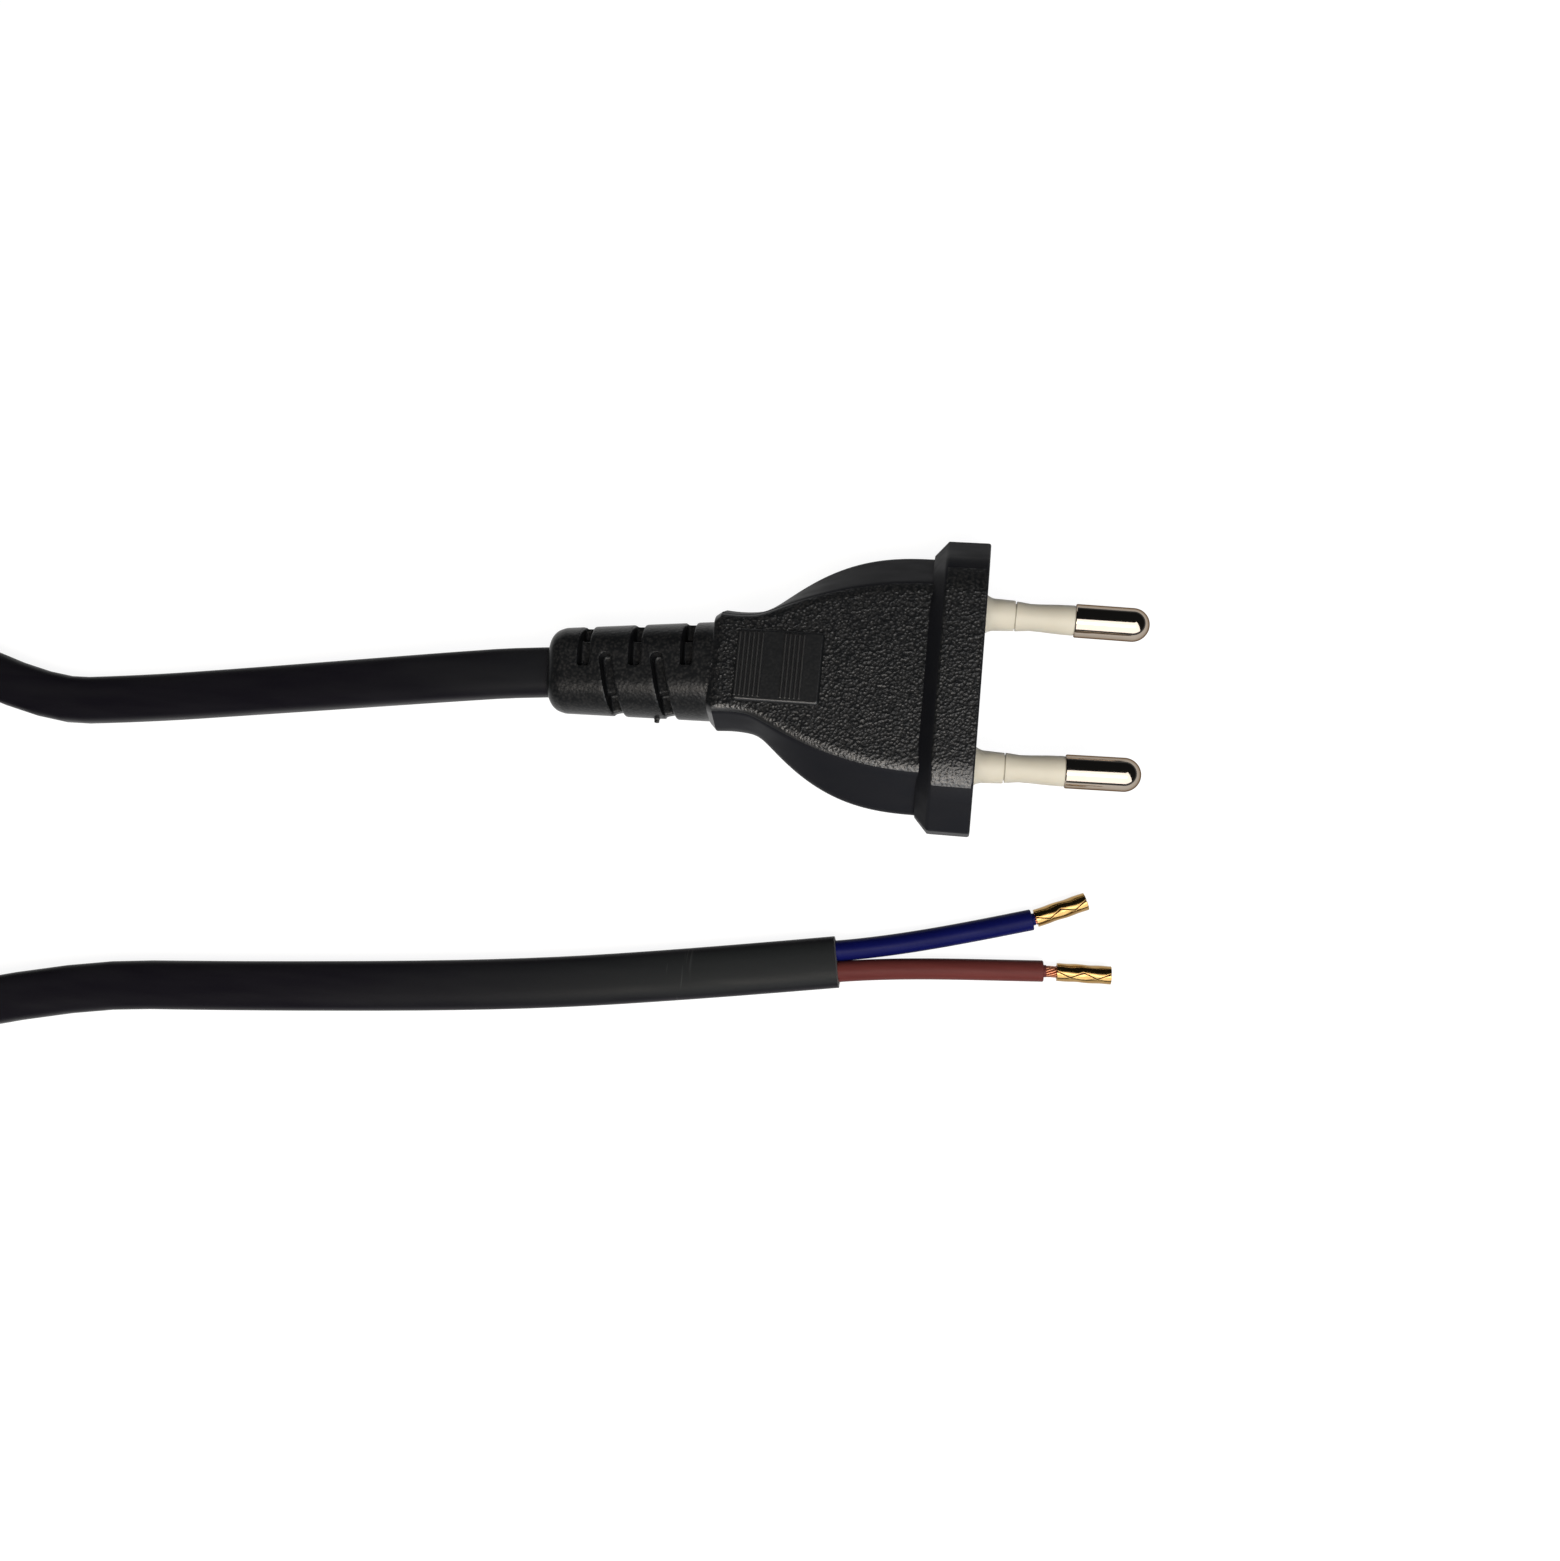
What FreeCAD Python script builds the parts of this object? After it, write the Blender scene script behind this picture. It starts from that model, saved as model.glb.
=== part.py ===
import FreeCAD, Part

# Moulded two-pin plug on a flat two-core cord whose far end is stripped for wiring.
# Millimetres. The origin is the middle of the engagement face, between the pins.
# +X is the way the pins point, +Y is to the left seen from behind, +Z is up.
import math
import os

Vec = FreeCAD.Vector
UP = Vec(0, 0, 1)

# Flange: six-sided plate with upright ends and a sloped back
flange_width = 35.3
flange_height = 13.7
flange_flat = 25.5
flange_end = 3.4
flange_rim = 5.0
flange_slope = 1.6
flange_corner = 0.7

# Body: bell-shaped in plan, a flat top and bottom joined to the mid-height line by slanted sides
body_width = 32.5
body_flat = 22.2
body_height = 9.6
body_edge = 0.7
body_rim = 1.2
body_length = 32.2
bell_length = 26.0
flat_length = 27.0
bell_power = 2.62
flat_power = 1.95
bell_softness = 0.06
body_stations = 12
neck_width = 15.0
neck_flat = 10.8
neck_flare = 0.3
neck_flare_length = 3.6
neck_chamfer = 0.9
neck_chamfer_side = 1.1
neck_chamfer_top = 0.5

# Grip panel on the top and on the bottom, with two groups of fine ribs
panel_length = 10.4
panel_width = 8.8
panel_rise = 0.3
panel_start = 18.6
panel_corner = 0.5
rib_pitch = 0.55
rib_width = 0.26
rib_rise = 0.18
rib_margin = 0.6
front_rib_count = 5
front_rib_offset = 2.35
rear_rib_count = 6
rear_rib_offset = 7.26

# Strain relief: a soft oval sleeve with slots let in from the two sides in turn, bent a little to the right
relief_length = 20.6
relief_bend = 3.4
relief_flat = 3.3
relief_root_height = 9.0
relief_end_height = 7.3
relief_end_round = 1.9
relief_overlap = 1.0
slot_count = 5
slot_pitch = 3.2
slot_width = 1.4
slot_from_end = 4.9
left_slot_past_middle = 0.2
right_slot_past_middle = 1.4
slot_web = 1.3
slot_core_wall = 0.9

# Pins: solid, domed, leaning together towards the tips
pin_spacing_face = 18.6
pin_spacing_tips = 18.0
pin_length = 19.2
pin_diameter = 4.0
pin_neck_diameter = 2.8
pin_bare_from = 10.5
pin_dome_radius = 2.4
barrel_diameter = 4.0
barrel_length = 7.4
barrel_gap = 0.1
barrel_bore_depth = 5.0

# Sleeves on the pins, and the bridge that carries both pins
sleeve_diameter = 3.5
collar_length = 3.4
collar_diameter = 4.2
bridge_cover = 1.4
bridge_thickness = 4.2
bridge_width = 24.0
bridge_height = 6.2
bridge_corner = 1.2

# Flat cord, its cores and their copper strands
cord_width = 6.2
cord_thickness = 3.9
cord_corner = 1.6
core_diameter = 2.55
strand_diameter = 1.4
sheath_end_depth = 29.0
core_start_offset = 1.5
core_end_gap = 1.2

# Coil of the cord that is put away: two layers of turns that stand on edge, held by a tie
coil_centre_back = 185.0
coil_centre_right = 28.0
coil_mean_radius = 34.0
coil_turn_pitch = 4.1
coil_turns_per_layer = 2.82
coil_layers = 2
coil_leave_angle = 69.0
coil_slack = 0.25
tie_width = 5.0
tie_thickness = 0.5
tie_clearance = 0.25
tie_twist_length = 9.0
tie_twist_diameter = 2.4

# Stripped end: sheath end, cores and crimp bands
core_end_rise = 0.05
band_length = 6.3
band_diameter = 2.2
band_seam = 0.16
blue_end_ahead = 8.2
blue_end_right = 26.4
blue_band_angle = 24.0
blue_band_gap = 0.45
brown_end_ahead = 9.9
brown_end_right = 32.35
brown_band_angle = 1.7
brown_band_gap = 1.55

# Route of the free cord, chosen by hand along the photograph's cord
bend_share = 0.45
relief_clear = 6.0
tail_edge_back = 124.0
tail_edge_right = 9.4
return_landing_back = 117.0
return_landing_right = 45.9
return_middle_back = 56.0
return_middle_right = 40.7
return_end_back = 14.6
return_end_right = 33.6

# What follows from the sizes above
floor = -flange_height / 2
cord_on_floor = floor + cord_thickness / 2
relief_end = -(body_length + relief_length)
relief_root = Vec(-body_length, 0, 0)
relief_way = Vec(-math.cos(math.radians(relief_bend)), -math.sin(math.radians(relief_bend)), 0)
slope_end = -(flange_rim + flange_slope)
pin_lean = math.atan((pin_spacing_face - pin_spacing_tips) / 2 / pin_length)
coil_centre = Vec(-coil_centre_back, -coil_centre_right, 0)
coil_outer_turn = coil_mean_radius + coil_turn_pitch * coil_turns_per_layer / 2
coil_inner = 2 * coil_mean_radius - coil_outer_turn - cord_thickness / 2 - coil_slack
coil_outer = coil_outer_turn + cord_thickness / 2 + coil_slack
core_end_height = floor + core_diameter / 2 + core_end_rise
coil_bottom = floor + tie_thickness + tie_clearance
coil_top = coil_bottom + coil_layers * cord_width
top_layer = coil_top - cord_width / 2

shapes = {}


def softened_wire(corners, radii, place):
    """Closed wire of straight edges through plane corners (u, v), each corner eased by two facets."""
    count = len(corners)
    points = [Vec(u, v, 0) for u, v in corners]
    eased = []
    for i in range(count):
        corner = points[i]
        back = (points[i - 1] - corner).normalize()
        ahead = (points[(i + 1) % count] - corner).normalize()
        half = back.getAngle(ahead) / 2
        reach = radii[i] / math.tan(half)
        bisector = (back + ahead).normalize()
        eased.append(corner + back * reach)
        eased.append(corner + bisector * (radii[i] / math.sin(half) - radii[i]))
        eased.append(corner + ahead * reach)
    return Part.makePolygon([place(p.x, p.y) for p in eased + eased[:1]])


def across(x):
    """Placer for a section that stands across the plug at x: u runs along Y and v along Z."""
    return lambda u, v: Vec(x, u, v)


def level(z):
    """Placer for a flat outline at height z: u runs along X and v along Y."""
    return lambda u, v: Vec(u, v, z)


def rectangle(width, height, centre=(0, 0)):
    """Corners of a rectangle round its centre."""
    u, v = width / 2, height / 2
    return [(centre[0] + a * u, centre[1] + b * v) for a, b in ((1, 1), (-1, 1), (-1, -1), (1, -1))]


def six_sides(half_flat, half_width, half_height):
    """Corners of a six-sided section: flat top and bottom, and a corner each side at mid-height."""
    return [
        (half_flat, half_height),
        (-half_flat, half_height),
        (-half_width, 0),
        (-half_flat, -half_height),
        (half_flat, -half_height),
        (half_width, 0),
    ]


def ramp(x, length, power):
    """Rise from 0 at the neck to 1 at the flange, with a soft start: the bell's curve in plan."""
    share = (x + length) / (length + slope_end)
    soft = (share + math.hypot(share, bell_softness)) / 2
    return 1 - (1 - min(soft, 1)) ** power


def body_section(x, side_inset=0.0, top_inset=0.0):
    """Section of the bell-shaped body at x, drawn in by the insets at the chamfered end of the neck."""
    half_width = (neck_width + (body_width - neck_width) * ramp(x, bell_length, bell_power)) / 2
    half_flat = (neck_flat + (body_flat - neck_flat) * ramp(x, flat_length, flat_power)) / 2
    flare = max(0.0, 1 - (x + body_length) / neck_flare_length)
    half_flat += neck_flare * flare**2 - top_inset
    corners = six_sides(half_flat, half_width - side_inset, body_height / 2 - top_inset)
    return softened_wire(corners, [body_edge, body_edge, body_rim] * 2, across(x))


def flange_section(x):
    """Section of the flange: flat top and bottom, slanted shoulders and upright ends."""
    flat, half, end = flange_flat / 2, flange_width / 2, flange_end / 2
    top = flange_height / 2
    quarter = [(flat, top), (half, end)]
    right = quarter + [(u, -v) for u, v in reversed(quarter)]
    corners = right + [(-u, -v) for u, v in right]
    return softened_wire(corners, [flange_corner] * len(corners), across(x))


def slope_section(x):
    """Foot of the flange's sloped back: the flange's outline drawn in to the body."""
    side = (flange_width - body_width) / 2
    rise = (flange_height - body_height) / 2
    flat, half, end = flange_flat / 2 - side, body_width / 2, flange_end / 2 - rise / 4
    top = flange_height / 2 - rise
    quarter = [(flat, top), (half, end)]
    right = quarter + [(u, -v) for u, v in reversed(quarter)]
    corners = right + [(-u, -v) for u, v in right]
    return softened_wire(corners, [flange_corner] * len(corners), across(x))


def bell_body():
    """Body from inside the flange to the chamfered end of the neck."""
    front = -flange_rim / 2
    rear = neck_chamfer - body_length
    step = (front - rear) / (body_stations - 1)
    stations = [rear + step * i for i in range(body_stations)]
    bell = Part.makeLoft([body_section(x) for x in stations], True, True)
    tip = body_section(-body_length, neck_chamfer_side, neck_chamfer_top)
    return bell.fuse(Part.makeLoft([tip, body_section(rear)], True, True))


def flange():
    """Upright rim and the sloped back behind it."""
    rim = Part.Face(flange_section(-flange_rim)).extrude(Vec(flange_rim, 0, 0))
    back = Part.makeLoft([slope_section(slope_end), flange_section(-flange_rim)], True, True)
    return rim.fuse(back)


def slot_cutter(x, side, half):
    """One slot: let in from one side past the middle, from the top (half 1) or the bottom (half -1)."""
    depth = relief_root_height / 2
    outer = side * (relief_flat + relief_root_height) / 2
    inner = -left_slot_past_middle if side > 0 else right_slot_past_middle
    run = Part.makeBox(slot_width, abs(outer - inner), depth, Vec(x - slot_width / 2, min(outer, inner), 0))
    end = Part.makeCylinder(slot_width / 2, depth, Vec(x, inner, 0))
    core_width = cord_width + 2 * slot_core_wall
    core_rise = cord_thickness / 2 + slot_core_wall
    core = Part.makeBox(2 * slot_width, core_width, core_rise, Vec(x - slot_width, -core_width / 2, 0))
    web = Part.makeBox(2 * slot_width, 2 * abs(outer), slot_web / 2, Vec(x - slot_width, -abs(outer), 0))
    slot = run.fuse(end).removeSplitter().cut(core.fuse(web))
    return slot if half > 0 else slot.mirror(Vec(0, 0, 0), UP)


def strain_relief():
    """Tapered oval sleeve with an eased end and slots from both sides in turn, top and bottom alike."""
    end_rise = relief_end_height / 2
    ease = relief_end_round * (1 - math.sqrt(0.5))
    profile = [
        (relief_end, end_rise - relief_end_round),
        (relief_end + ease, end_rise - ease),
        (relief_end + relief_end_round, end_rise),
        (relief_overlap - body_length, relief_root_height / 2),
    ]
    solids = []
    for (start, low), (end, high) in zip(profile, profile[1:]):
        for side in (1, -1):
            foot = Vec(start, side * relief_flat / 2, 0)
            solids.append(Part.makeCone(low, high, end - start, foot, Vec(1, 0, 0)))
        flats = []
        for x, rise in ((start, low), (end, high)):
            corners = [Vec(x, u, v) for u, v in rectangle(relief_flat, 2 * rise)]
            flats.append(Part.makePolygon(corners + corners[:1]))
        solids.append(Part.makeLoft(flats, True, True))
    relief = solids[0].multiFuse(solids[1:]).removeSplitter()
    cutters = []
    for i in range(slot_count):
        x = relief_end + slot_from_end + i * slot_pitch
        side = 1 if i % 2 == 0 else -1
        cutters += [slot_cutter(x, side, half) for half in (1, -1)]
    relief = relief.cut(Part.Compound(cutters))
    relief.rotate(relief_root, UP, relief_bend)
    return relief


def grip_panel():
    """Raised panel on the top of the neck, with a group of ribs near each end."""
    top = body_height / 2
    middle = -(panel_start + panel_length / 2)
    outline = softened_wire(
        rectangle(panel_length, panel_width, (middle, 0)), [panel_corner] * 4, level(top - body_edge)
    )
    panel = Part.Face(outline).extrude(UP * (body_edge + panel_rise))
    ribs = []
    for offset, count in ((front_rib_offset, front_rib_count), (rear_rib_offset, rear_rib_count)):
        for i in range(count):
            x = -(panel_start + offset + i * rib_pitch)
            length = panel_width - 2 * rib_margin
            base = Vec(x - rib_width / 2, -length / 2, top)
            ribs.append(Part.makeBox(rib_width, length, panel_rise + rib_rise, base))
    return panel.multiFuse(ribs)


def pin_line(side):
    """Foot and direction of a pin's axis: side 1 is the left pin, -1 the right one."""
    foot = Vec(0, side * pin_spacing_face / 2, 0)
    return foot, Vec(math.cos(pin_lean), -side * math.sin(pin_lean), 0)


def turned(wire, side):
    """Solid turned about a pin's axis from a closed wire drawn as (distance along the axis, radius)."""
    solid = Part.Face(wire).revolve(Vec(0, 0, 0), Vec(1, 0, 0), 360)
    solid.rotate(Vec(0, 0, 0), UP, -side * math.degrees(pin_lean))
    solid.translate(pin_line(side)[0])
    return solid


bridge_rear = -(bridge_cover + bridge_thickness)
barrel_front = bridge_rear - barrel_gap
barrel_rear = barrel_front - barrel_length


def pin(side):
    """Pin turned from one bar: domed bare end, thin neck in the sleeve, crimp barrel behind the bridge."""
    bare = pin_diameter / 2
    neck = pin_neck_diameter / 2
    barrel = barrel_diameter / 2
    bore = strand_diameter / 2
    dome_angle = math.asin(bare / pin_dome_radius)
    dome_from = pin_length - pin_dome_radius * (1 - math.cos(dome_angle))
    bottom = barrel_rear + barrel_bore_depth
    outline = [
        (pin_length, 0),
        (bottom, 0),
        (bottom, bore),
        (barrel_rear, bore),
        (barrel_rear, barrel),
        (barrel_front, barrel),
        (barrel_front, neck),
        (pin_bare_from, neck),
        (pin_bare_from, bare),
        (dome_from, bare),
    ]
    points = [Vec(s, r, 0) for s, r in outline]
    edges = [Part.LineSegment(a, b).toShape() for a, b in zip(points, points[1:])]
    to_middle = Vec(math.cos(dome_angle / 2), math.sin(dome_angle / 2), 0)
    middle = Vec(pin_length - pin_dome_radius, 0, 0) + to_middle * pin_dome_radius
    edges.append(Part.Arc(points[-1], middle, points[0]).toShape())
    return turned(Part.Wire(edges), side)


def sleeve(side):
    """Insulating tube on a pin, from the crimp barrel through the bridge to the bare metal."""
    foot, ahead = pin_line(side)
    start = foot + ahead * barrel_front
    length = pin_bare_from - barrel_front
    outer = Part.makeCylinder(sleeve_diameter / 2, length, start, ahead)
    return outer.cut(Part.makeCylinder(pin_neck_diameter / 2, length, start, ahead))


def collar(side):
    """Collar of the bridge round a pin, moulded square to the face so that a socket can close on it."""
    root = -(bridge_cover + bridge_thickness / 2)
    foot = Vec(root, side * pin_spacing_face / 2, 0)
    return Part.makeCylinder(collar_diameter / 2, collar_length - root, foot, Vec(1, 0, 0))


def pin_bridge(pins, sleeves):
    """Insert that holds both pins: a bar behind the face with a collar for each pin."""
    corners = rectangle(bridge_width, bridge_height)
    outline = softened_wire(corners, [bridge_corner] * 4, across(bridge_rear))
    bar = Part.Face(outline).extrude(Vec(bridge_thickness, 0, 0))
    bridge = bar.multiFuse([collar(side) for side in (1, -1)]).removeSplitter()
    return bridge.cut(Part.Compound(pins + sleeves))


def section_at(start, ahead, width, thickness):
    """Flat cord's section, standing across its way at the start of a run, with its broad side level."""
    side = UP.cross(ahead).normalize()
    rise = ahead.cross(side)
    corners = rectangle(width, thickness)
    return softened_wire(corners, [cord_corner] * 4, lambda u, v: start + side * u + rise * v)


def tube(name, points, held=0.0):
    """Flat cord along straight runs and tangent bends, held so far in its first run. Prints the radii."""
    start = points[0]
    face = Part.Face(section_at(start, (points[1] - start).normalize(), cord_width, cord_thickness))
    solids = []
    radii = []
    length = 0.0
    runs = [(b - a).Length for a, b in zip(points, points[1:])]
    runs[0] -= held
    reaches = [bend_share * min(pair) for pair in zip(runs, runs[1:])]
    for before, corner, after, reach in zip(points, points[1:], points[2:], reaches):
        back = before - corner
        ahead = after - corner
        turn = math.pi - back.getAngle(ahead)
        radius = reach / math.tan(turn / 2)
        back.normalize()
        ahead.normalize()
        enter = corner + back * reach
        run = enter - start
        solids.append(face.extrude(run))
        face.translate(run)
        centre = corner + (back + ahead).normalize() * (radius / math.cos(turn / 2))
        axis = ahead.cross(back)
        solids.append(face.revolve(centre, axis, math.degrees(turn)))
        face.rotate(centre, axis, math.degrees(turn))
        start = corner + ahead * reach
        radii.append(round(radius, 1))
        length += run.Length + radius * turn
    run = points[-1] - start
    solids.append(face.extrude(run))
    length += run.Length
    solid = solids[0].multiFuse(solids[1:])
    print(name, "radii", radii, "length", round(length, 1))
    print(name, "volume", round(solid.Volume, 1), "of", round(face.Area * length, 1))
    return solid


def straight_core(start, end, start_normal, end_normal):
    """Round core between two points, its ends cut flush with the planes that the normals give."""
    ahead = (end - start).normalize()
    spare = core_diameter
    length = (end - start).Length + 2 * spare
    rod = Part.makeCylinder(core_diameter / 2, length, start - ahead * spare, ahead)
    for spot, outward in ((start, start_normal * -1), (end, end_normal)):
        rod = rod.cut(Part.makeCylinder(2 * spare, 4 * spare, spot, outward))
    return rod


def tangent_point(side, height):
    """Where the cord meets the coil's outer turn: side 1 is the plug's stretch, -1 the far end's."""
    angle = math.radians(coil_leave_angle)
    return coil_centre + Vec(math.cos(angle), side * math.sin(angle), 0) * coil_outer_turn + UP * height


# The plug's stretch leaves the relief and sinks to the floor, the far stretch comes down from the coil
sheath_held = body_length - sheath_end_depth + relief_length
sheath_start = relief_root + relief_way * (sheath_end_depth - body_length)
tail_bend = sheath_start + relief_way * (sheath_held + relief_clear)
tail_edge = Vec(-tail_edge_back, -tail_edge_right, cord_on_floor)
return_landing = Vec(-return_landing_back, -return_landing_right, cord_on_floor)
return_middle = Vec(-return_middle_back, -return_middle_right, cord_on_floor)
return_end = Vec(-return_end_back, -return_end_right, cord_on_floor)


def cord_coil():
    """Outer shape of the wound turns."""
    foot = coil_centre + UP * coil_bottom
    height = coil_top - coil_bottom
    return Part.makeCylinder(coil_outer, height, foot).cut(Part.makeCylinder(coil_inner, height, foot))


def coil_tie():
    """Flat tie wrapped once round the coil's turns, its ends twisted together inside the coil."""
    width = coil_outer - coil_inner + 2 * tie_clearance
    height = coil_top - coil_bottom + 2 * tie_clearance
    middle = coil_centre.x - (coil_outer + coil_inner) / 2
    rise = (coil_top + coil_bottom) / 2
    tie_edge = coil_centre.y - tie_width / 2

    def loop(grow):
        corners = rectangle(width + 2 * grow, height + 2 * grow, (middle, rise))
        radii = [tie_clearance + grow] * 4
        return Part.Face(softened_wire(corners, radii, lambda u, v: Vec(u, tie_edge, v)))

    across_band = Vec(0, tie_width, 0)
    band = loop(tie_thickness).extrude(across_band).cut(loop(0.0).extrude(across_band))
    foot = Vec(middle + width / 2 + tie_thickness / 2, coil_centre.y, rise)
    twist = Part.makeCylinder(tie_twist_diameter / 2, tie_twist_length, foot, Vec(1, 0, 0))
    return band.fuse(twist).removeSplitter()


def inner_core_ends(side):
    """Where a core leaves the sheath inside the plug, and where it is bared behind a pin's barrel."""
    foot, ahead = pin_line(side)
    start = sheath_start + relief_way.cross(UP) * (side * core_start_offset)
    return start, foot + ahead * (barrel_rear - core_end_gap)


def crimp_band(start, ahead):
    """Rolled brass band pressed round the strands, with its butted seam on top."""
    outer = Part.makeCylinder(band_diameter / 2, band_length, start, ahead)
    bore = Part.makeCylinder(strand_diameter / 2, band_length, start, ahead)
    band = outer.cut(bore)
    side = UP.cross(ahead).normalize()
    corners = rectangle(band_length * 3, band_seam)
    slit = Part.makePolygon([start + ahead * u + side * v for u, v in corners + corners[:1]])
    return band.cut(Part.Face(slit).extrude(UP * band_diameter))


# Pins, sleeves and the bridge that holds them
names = {1: "left", -1: "right"}
for side, name in names.items():
    shapes[name + "_pin"] = pin(side)
    shapes[name + "_pin_sleeve"] = sleeve(side)
pins = [shapes[name + "_pin"] for name in names.values()]
sleeves = [shapes[name + "_pin_sleeve"] for name in names.values()]
shapes["pin_bridge"] = pin_bridge(pins, sleeves)

# Cores inside the moulding, bared into the crimp barrels
for side, name in names.items():
    start, end = inner_core_ends(side)
    ahead = pin_line(side)[1]
    shapes[name + "_inner_core"] = straight_core(start, end, relief_way * -1, ahead)
    strands = Part.makeCylinder(strand_diameter / 2, core_end_gap + barrel_bore_depth, end, ahead)
    shapes[name + "_inner_strands"] = strands

# Free cord, its coil and the tie
shapes["cord_coil"] = cord_coil()
shapes["coil_tie"] = coil_tie()
tail = tube("cord_tail", [sheath_start, tail_bend, tail_edge, tangent_point(1, cord_on_floor)], sheath_held)
far = tube("cord_return", [return_end, return_middle, return_landing, tangent_point(-1, top_layer)])
for name, whole in (("cord_tail", tail), ("cord_return", far)):
    shapes[name] = max(whole.cut(shapes["cord_coil"]).Solids, key=lambda solid: solid.Volume)

# Stripped end: each core from the sheath's end to its own cut end, where the strands carry a crimp band
cord_way = (return_end - return_middle).normalize()
cord_side = UP.cross(cord_way)
core_ends = {
    "blue": (1, blue_end_ahead, blue_end_right, blue_band_angle, blue_band_gap),
    "brown": (-1, brown_end_ahead, brown_end_right, brown_band_angle, brown_band_gap),
}
for name, (side, end_ahead, end_right, band_angle, gap) in core_ends.items():
    start = return_end + cord_side * (side * core_start_offset)
    end = Vec(end_ahead, -end_right, core_end_height)
    angle = math.radians(band_angle)
    ahead = Vec(math.cos(angle), math.sin(angle), 0)
    shapes[name + "_core_end"] = straight_core(start, end, cord_way, ahead)
    shapes[name + "_strands"] = Part.makeCylinder(strand_diameter / 2, gap + band_length, end, ahead)
    shapes[name + "_crimp_band"] = crimp_band(end + ahead * gap, ahead)

# Overmould round everything that it holds
moulding = flange().multiFuse([bell_body(), strain_relief()])
panel = grip_panel()
moulding = moulding.multiFuse([panel, panel.mirror(Vec(0, 0, 0), UP)])
held = ["pin_bridge", "cord_tail"]
for name in names.values():
    held += [name + kind for kind in ("_pin", "_pin_sleeve", "_inner_core", "_inner_strands")]
shapes["plug_body"] = moulding.cut(Part.Compound([shapes[name] for name in held])).removeSplitter()

os.makedirs("parts", exist_ok=True)
for name, shape in shapes.items():
    state = "valid" if shape.isValid() else "NOT VALID"
    print(name, len(shape.Solids), "solid", state, round(shape.Volume, 2))
    shape.exportStep("parts/" + name + ".step")
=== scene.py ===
# Moulded two-pin plug on a flat two-core cord whose far end is stripped and crimped for wiring.
# Metres, in the part's own frame: +X the way the pins point, +Y the plug's left, +Z up.
import math

import bmesh
import bpy
from mathutils import Matrix, Vector


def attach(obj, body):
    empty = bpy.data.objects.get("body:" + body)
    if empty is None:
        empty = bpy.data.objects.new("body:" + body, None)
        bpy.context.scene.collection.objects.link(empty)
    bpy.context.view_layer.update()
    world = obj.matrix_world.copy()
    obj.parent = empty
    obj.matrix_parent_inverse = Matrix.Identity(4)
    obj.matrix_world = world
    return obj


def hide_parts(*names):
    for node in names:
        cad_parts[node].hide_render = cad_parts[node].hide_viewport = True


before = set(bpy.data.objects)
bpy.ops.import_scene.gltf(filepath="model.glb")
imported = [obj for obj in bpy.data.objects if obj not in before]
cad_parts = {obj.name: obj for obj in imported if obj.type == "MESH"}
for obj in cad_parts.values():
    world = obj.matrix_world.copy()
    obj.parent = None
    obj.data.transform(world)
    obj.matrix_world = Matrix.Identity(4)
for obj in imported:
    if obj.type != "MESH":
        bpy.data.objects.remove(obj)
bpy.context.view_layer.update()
MM = 0.001

# Pins: turned from brass bar and plated with nickel, with a full round tip and a crimp barrel at the back.
# They lean together a little, so each is turned on the X axis and then swung to its own line.
pin_length = 19.2 * MM
pin_radius = 2.0 * MM
pin_neck_radius = 1.4 * MM
pin_bare_from = 10.5 * MM
pin_edge = 0.1 * MM
barrel_front = -5.7 * MM
barrel_rear = -13.1 * MM
barrel_bore = 0.7 * MM
barrel_bore_end = -8.1 * MM
pin_foot = 9.3 * MM
pin_draw_in = 0.3 * MM
pin_lean = math.atan(pin_draw_in / pin_length)


def leave_edit():
    """Back to object mode with nothing selected."""
    if bpy.context.object and bpy.context.object.mode != "OBJECT":
        bpy.ops.object.mode_set(mode="OBJECT")
    bpy.ops.object.select_all(action="DESELECT")


def take(piece):
    """Makes a piece the only one selected, and the active one."""
    leave_edit()
    piece.select_set(True)
    bpy.context.view_layer.objects.active = piece


def new_piece(name, verts, edges=(), faces=()):
    """Starts a piece from drawn points, lines or faces."""
    leave_edit()
    mesh = bpy.data.meshes.new(name)
    mesh.from_pydata([tuple(v) for v in verts], list(edges), list(faces))
    piece = bpy.data.objects.new(name, mesh)
    bpy.context.scene.collection.objects.link(piece)
    take(piece)
    return piece


def tidy_mesh(merge=1e-6):
    """Merges doubled points of the active piece and turns its faces outwards."""
    bpy.ops.object.mode_set(mode="EDIT")
    bpy.ops.mesh.select_all(action="SELECT")
    bpy.ops.mesh.remove_doubles(threshold=merge)
    bpy.ops.mesh.normals_make_consistent(inside=False)
    bpy.ops.object.mode_set(mode="OBJECT")


def turn_profile(name, profile, steps=72):
    """Piece turned about the X axis from a profile of (distance along X, radius)."""
    points = [(x, r, 0) for x, r in profile]
    piece = new_piece(name, points, [(i, i + 1) for i in range(len(points) - 1)])
    bpy.ops.object.mode_set(mode="EDIT")
    bpy.ops.mesh.select_all(action="SELECT")
    bpy.ops.mesh.spin(steps=steps, angle=math.tau, center=(0, 0, 0), axis=(1, 0, 0))
    bpy.ops.object.mode_set(mode="OBJECT")
    tidy_mesh()
    bpy.ops.object.shade_smooth_by_angle(angle=math.radians(35))
    return piece


def swing_to_pin(piece, side):
    """Moves a piece turned on the X axis onto a pin's own line."""
    piece.data.transform(Matrix.Rotation(-side * pin_lean, 4, "Z"))
    piece.data.transform(Matrix.Translation((0, side * pin_foot, 0)))
    return piece


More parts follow.
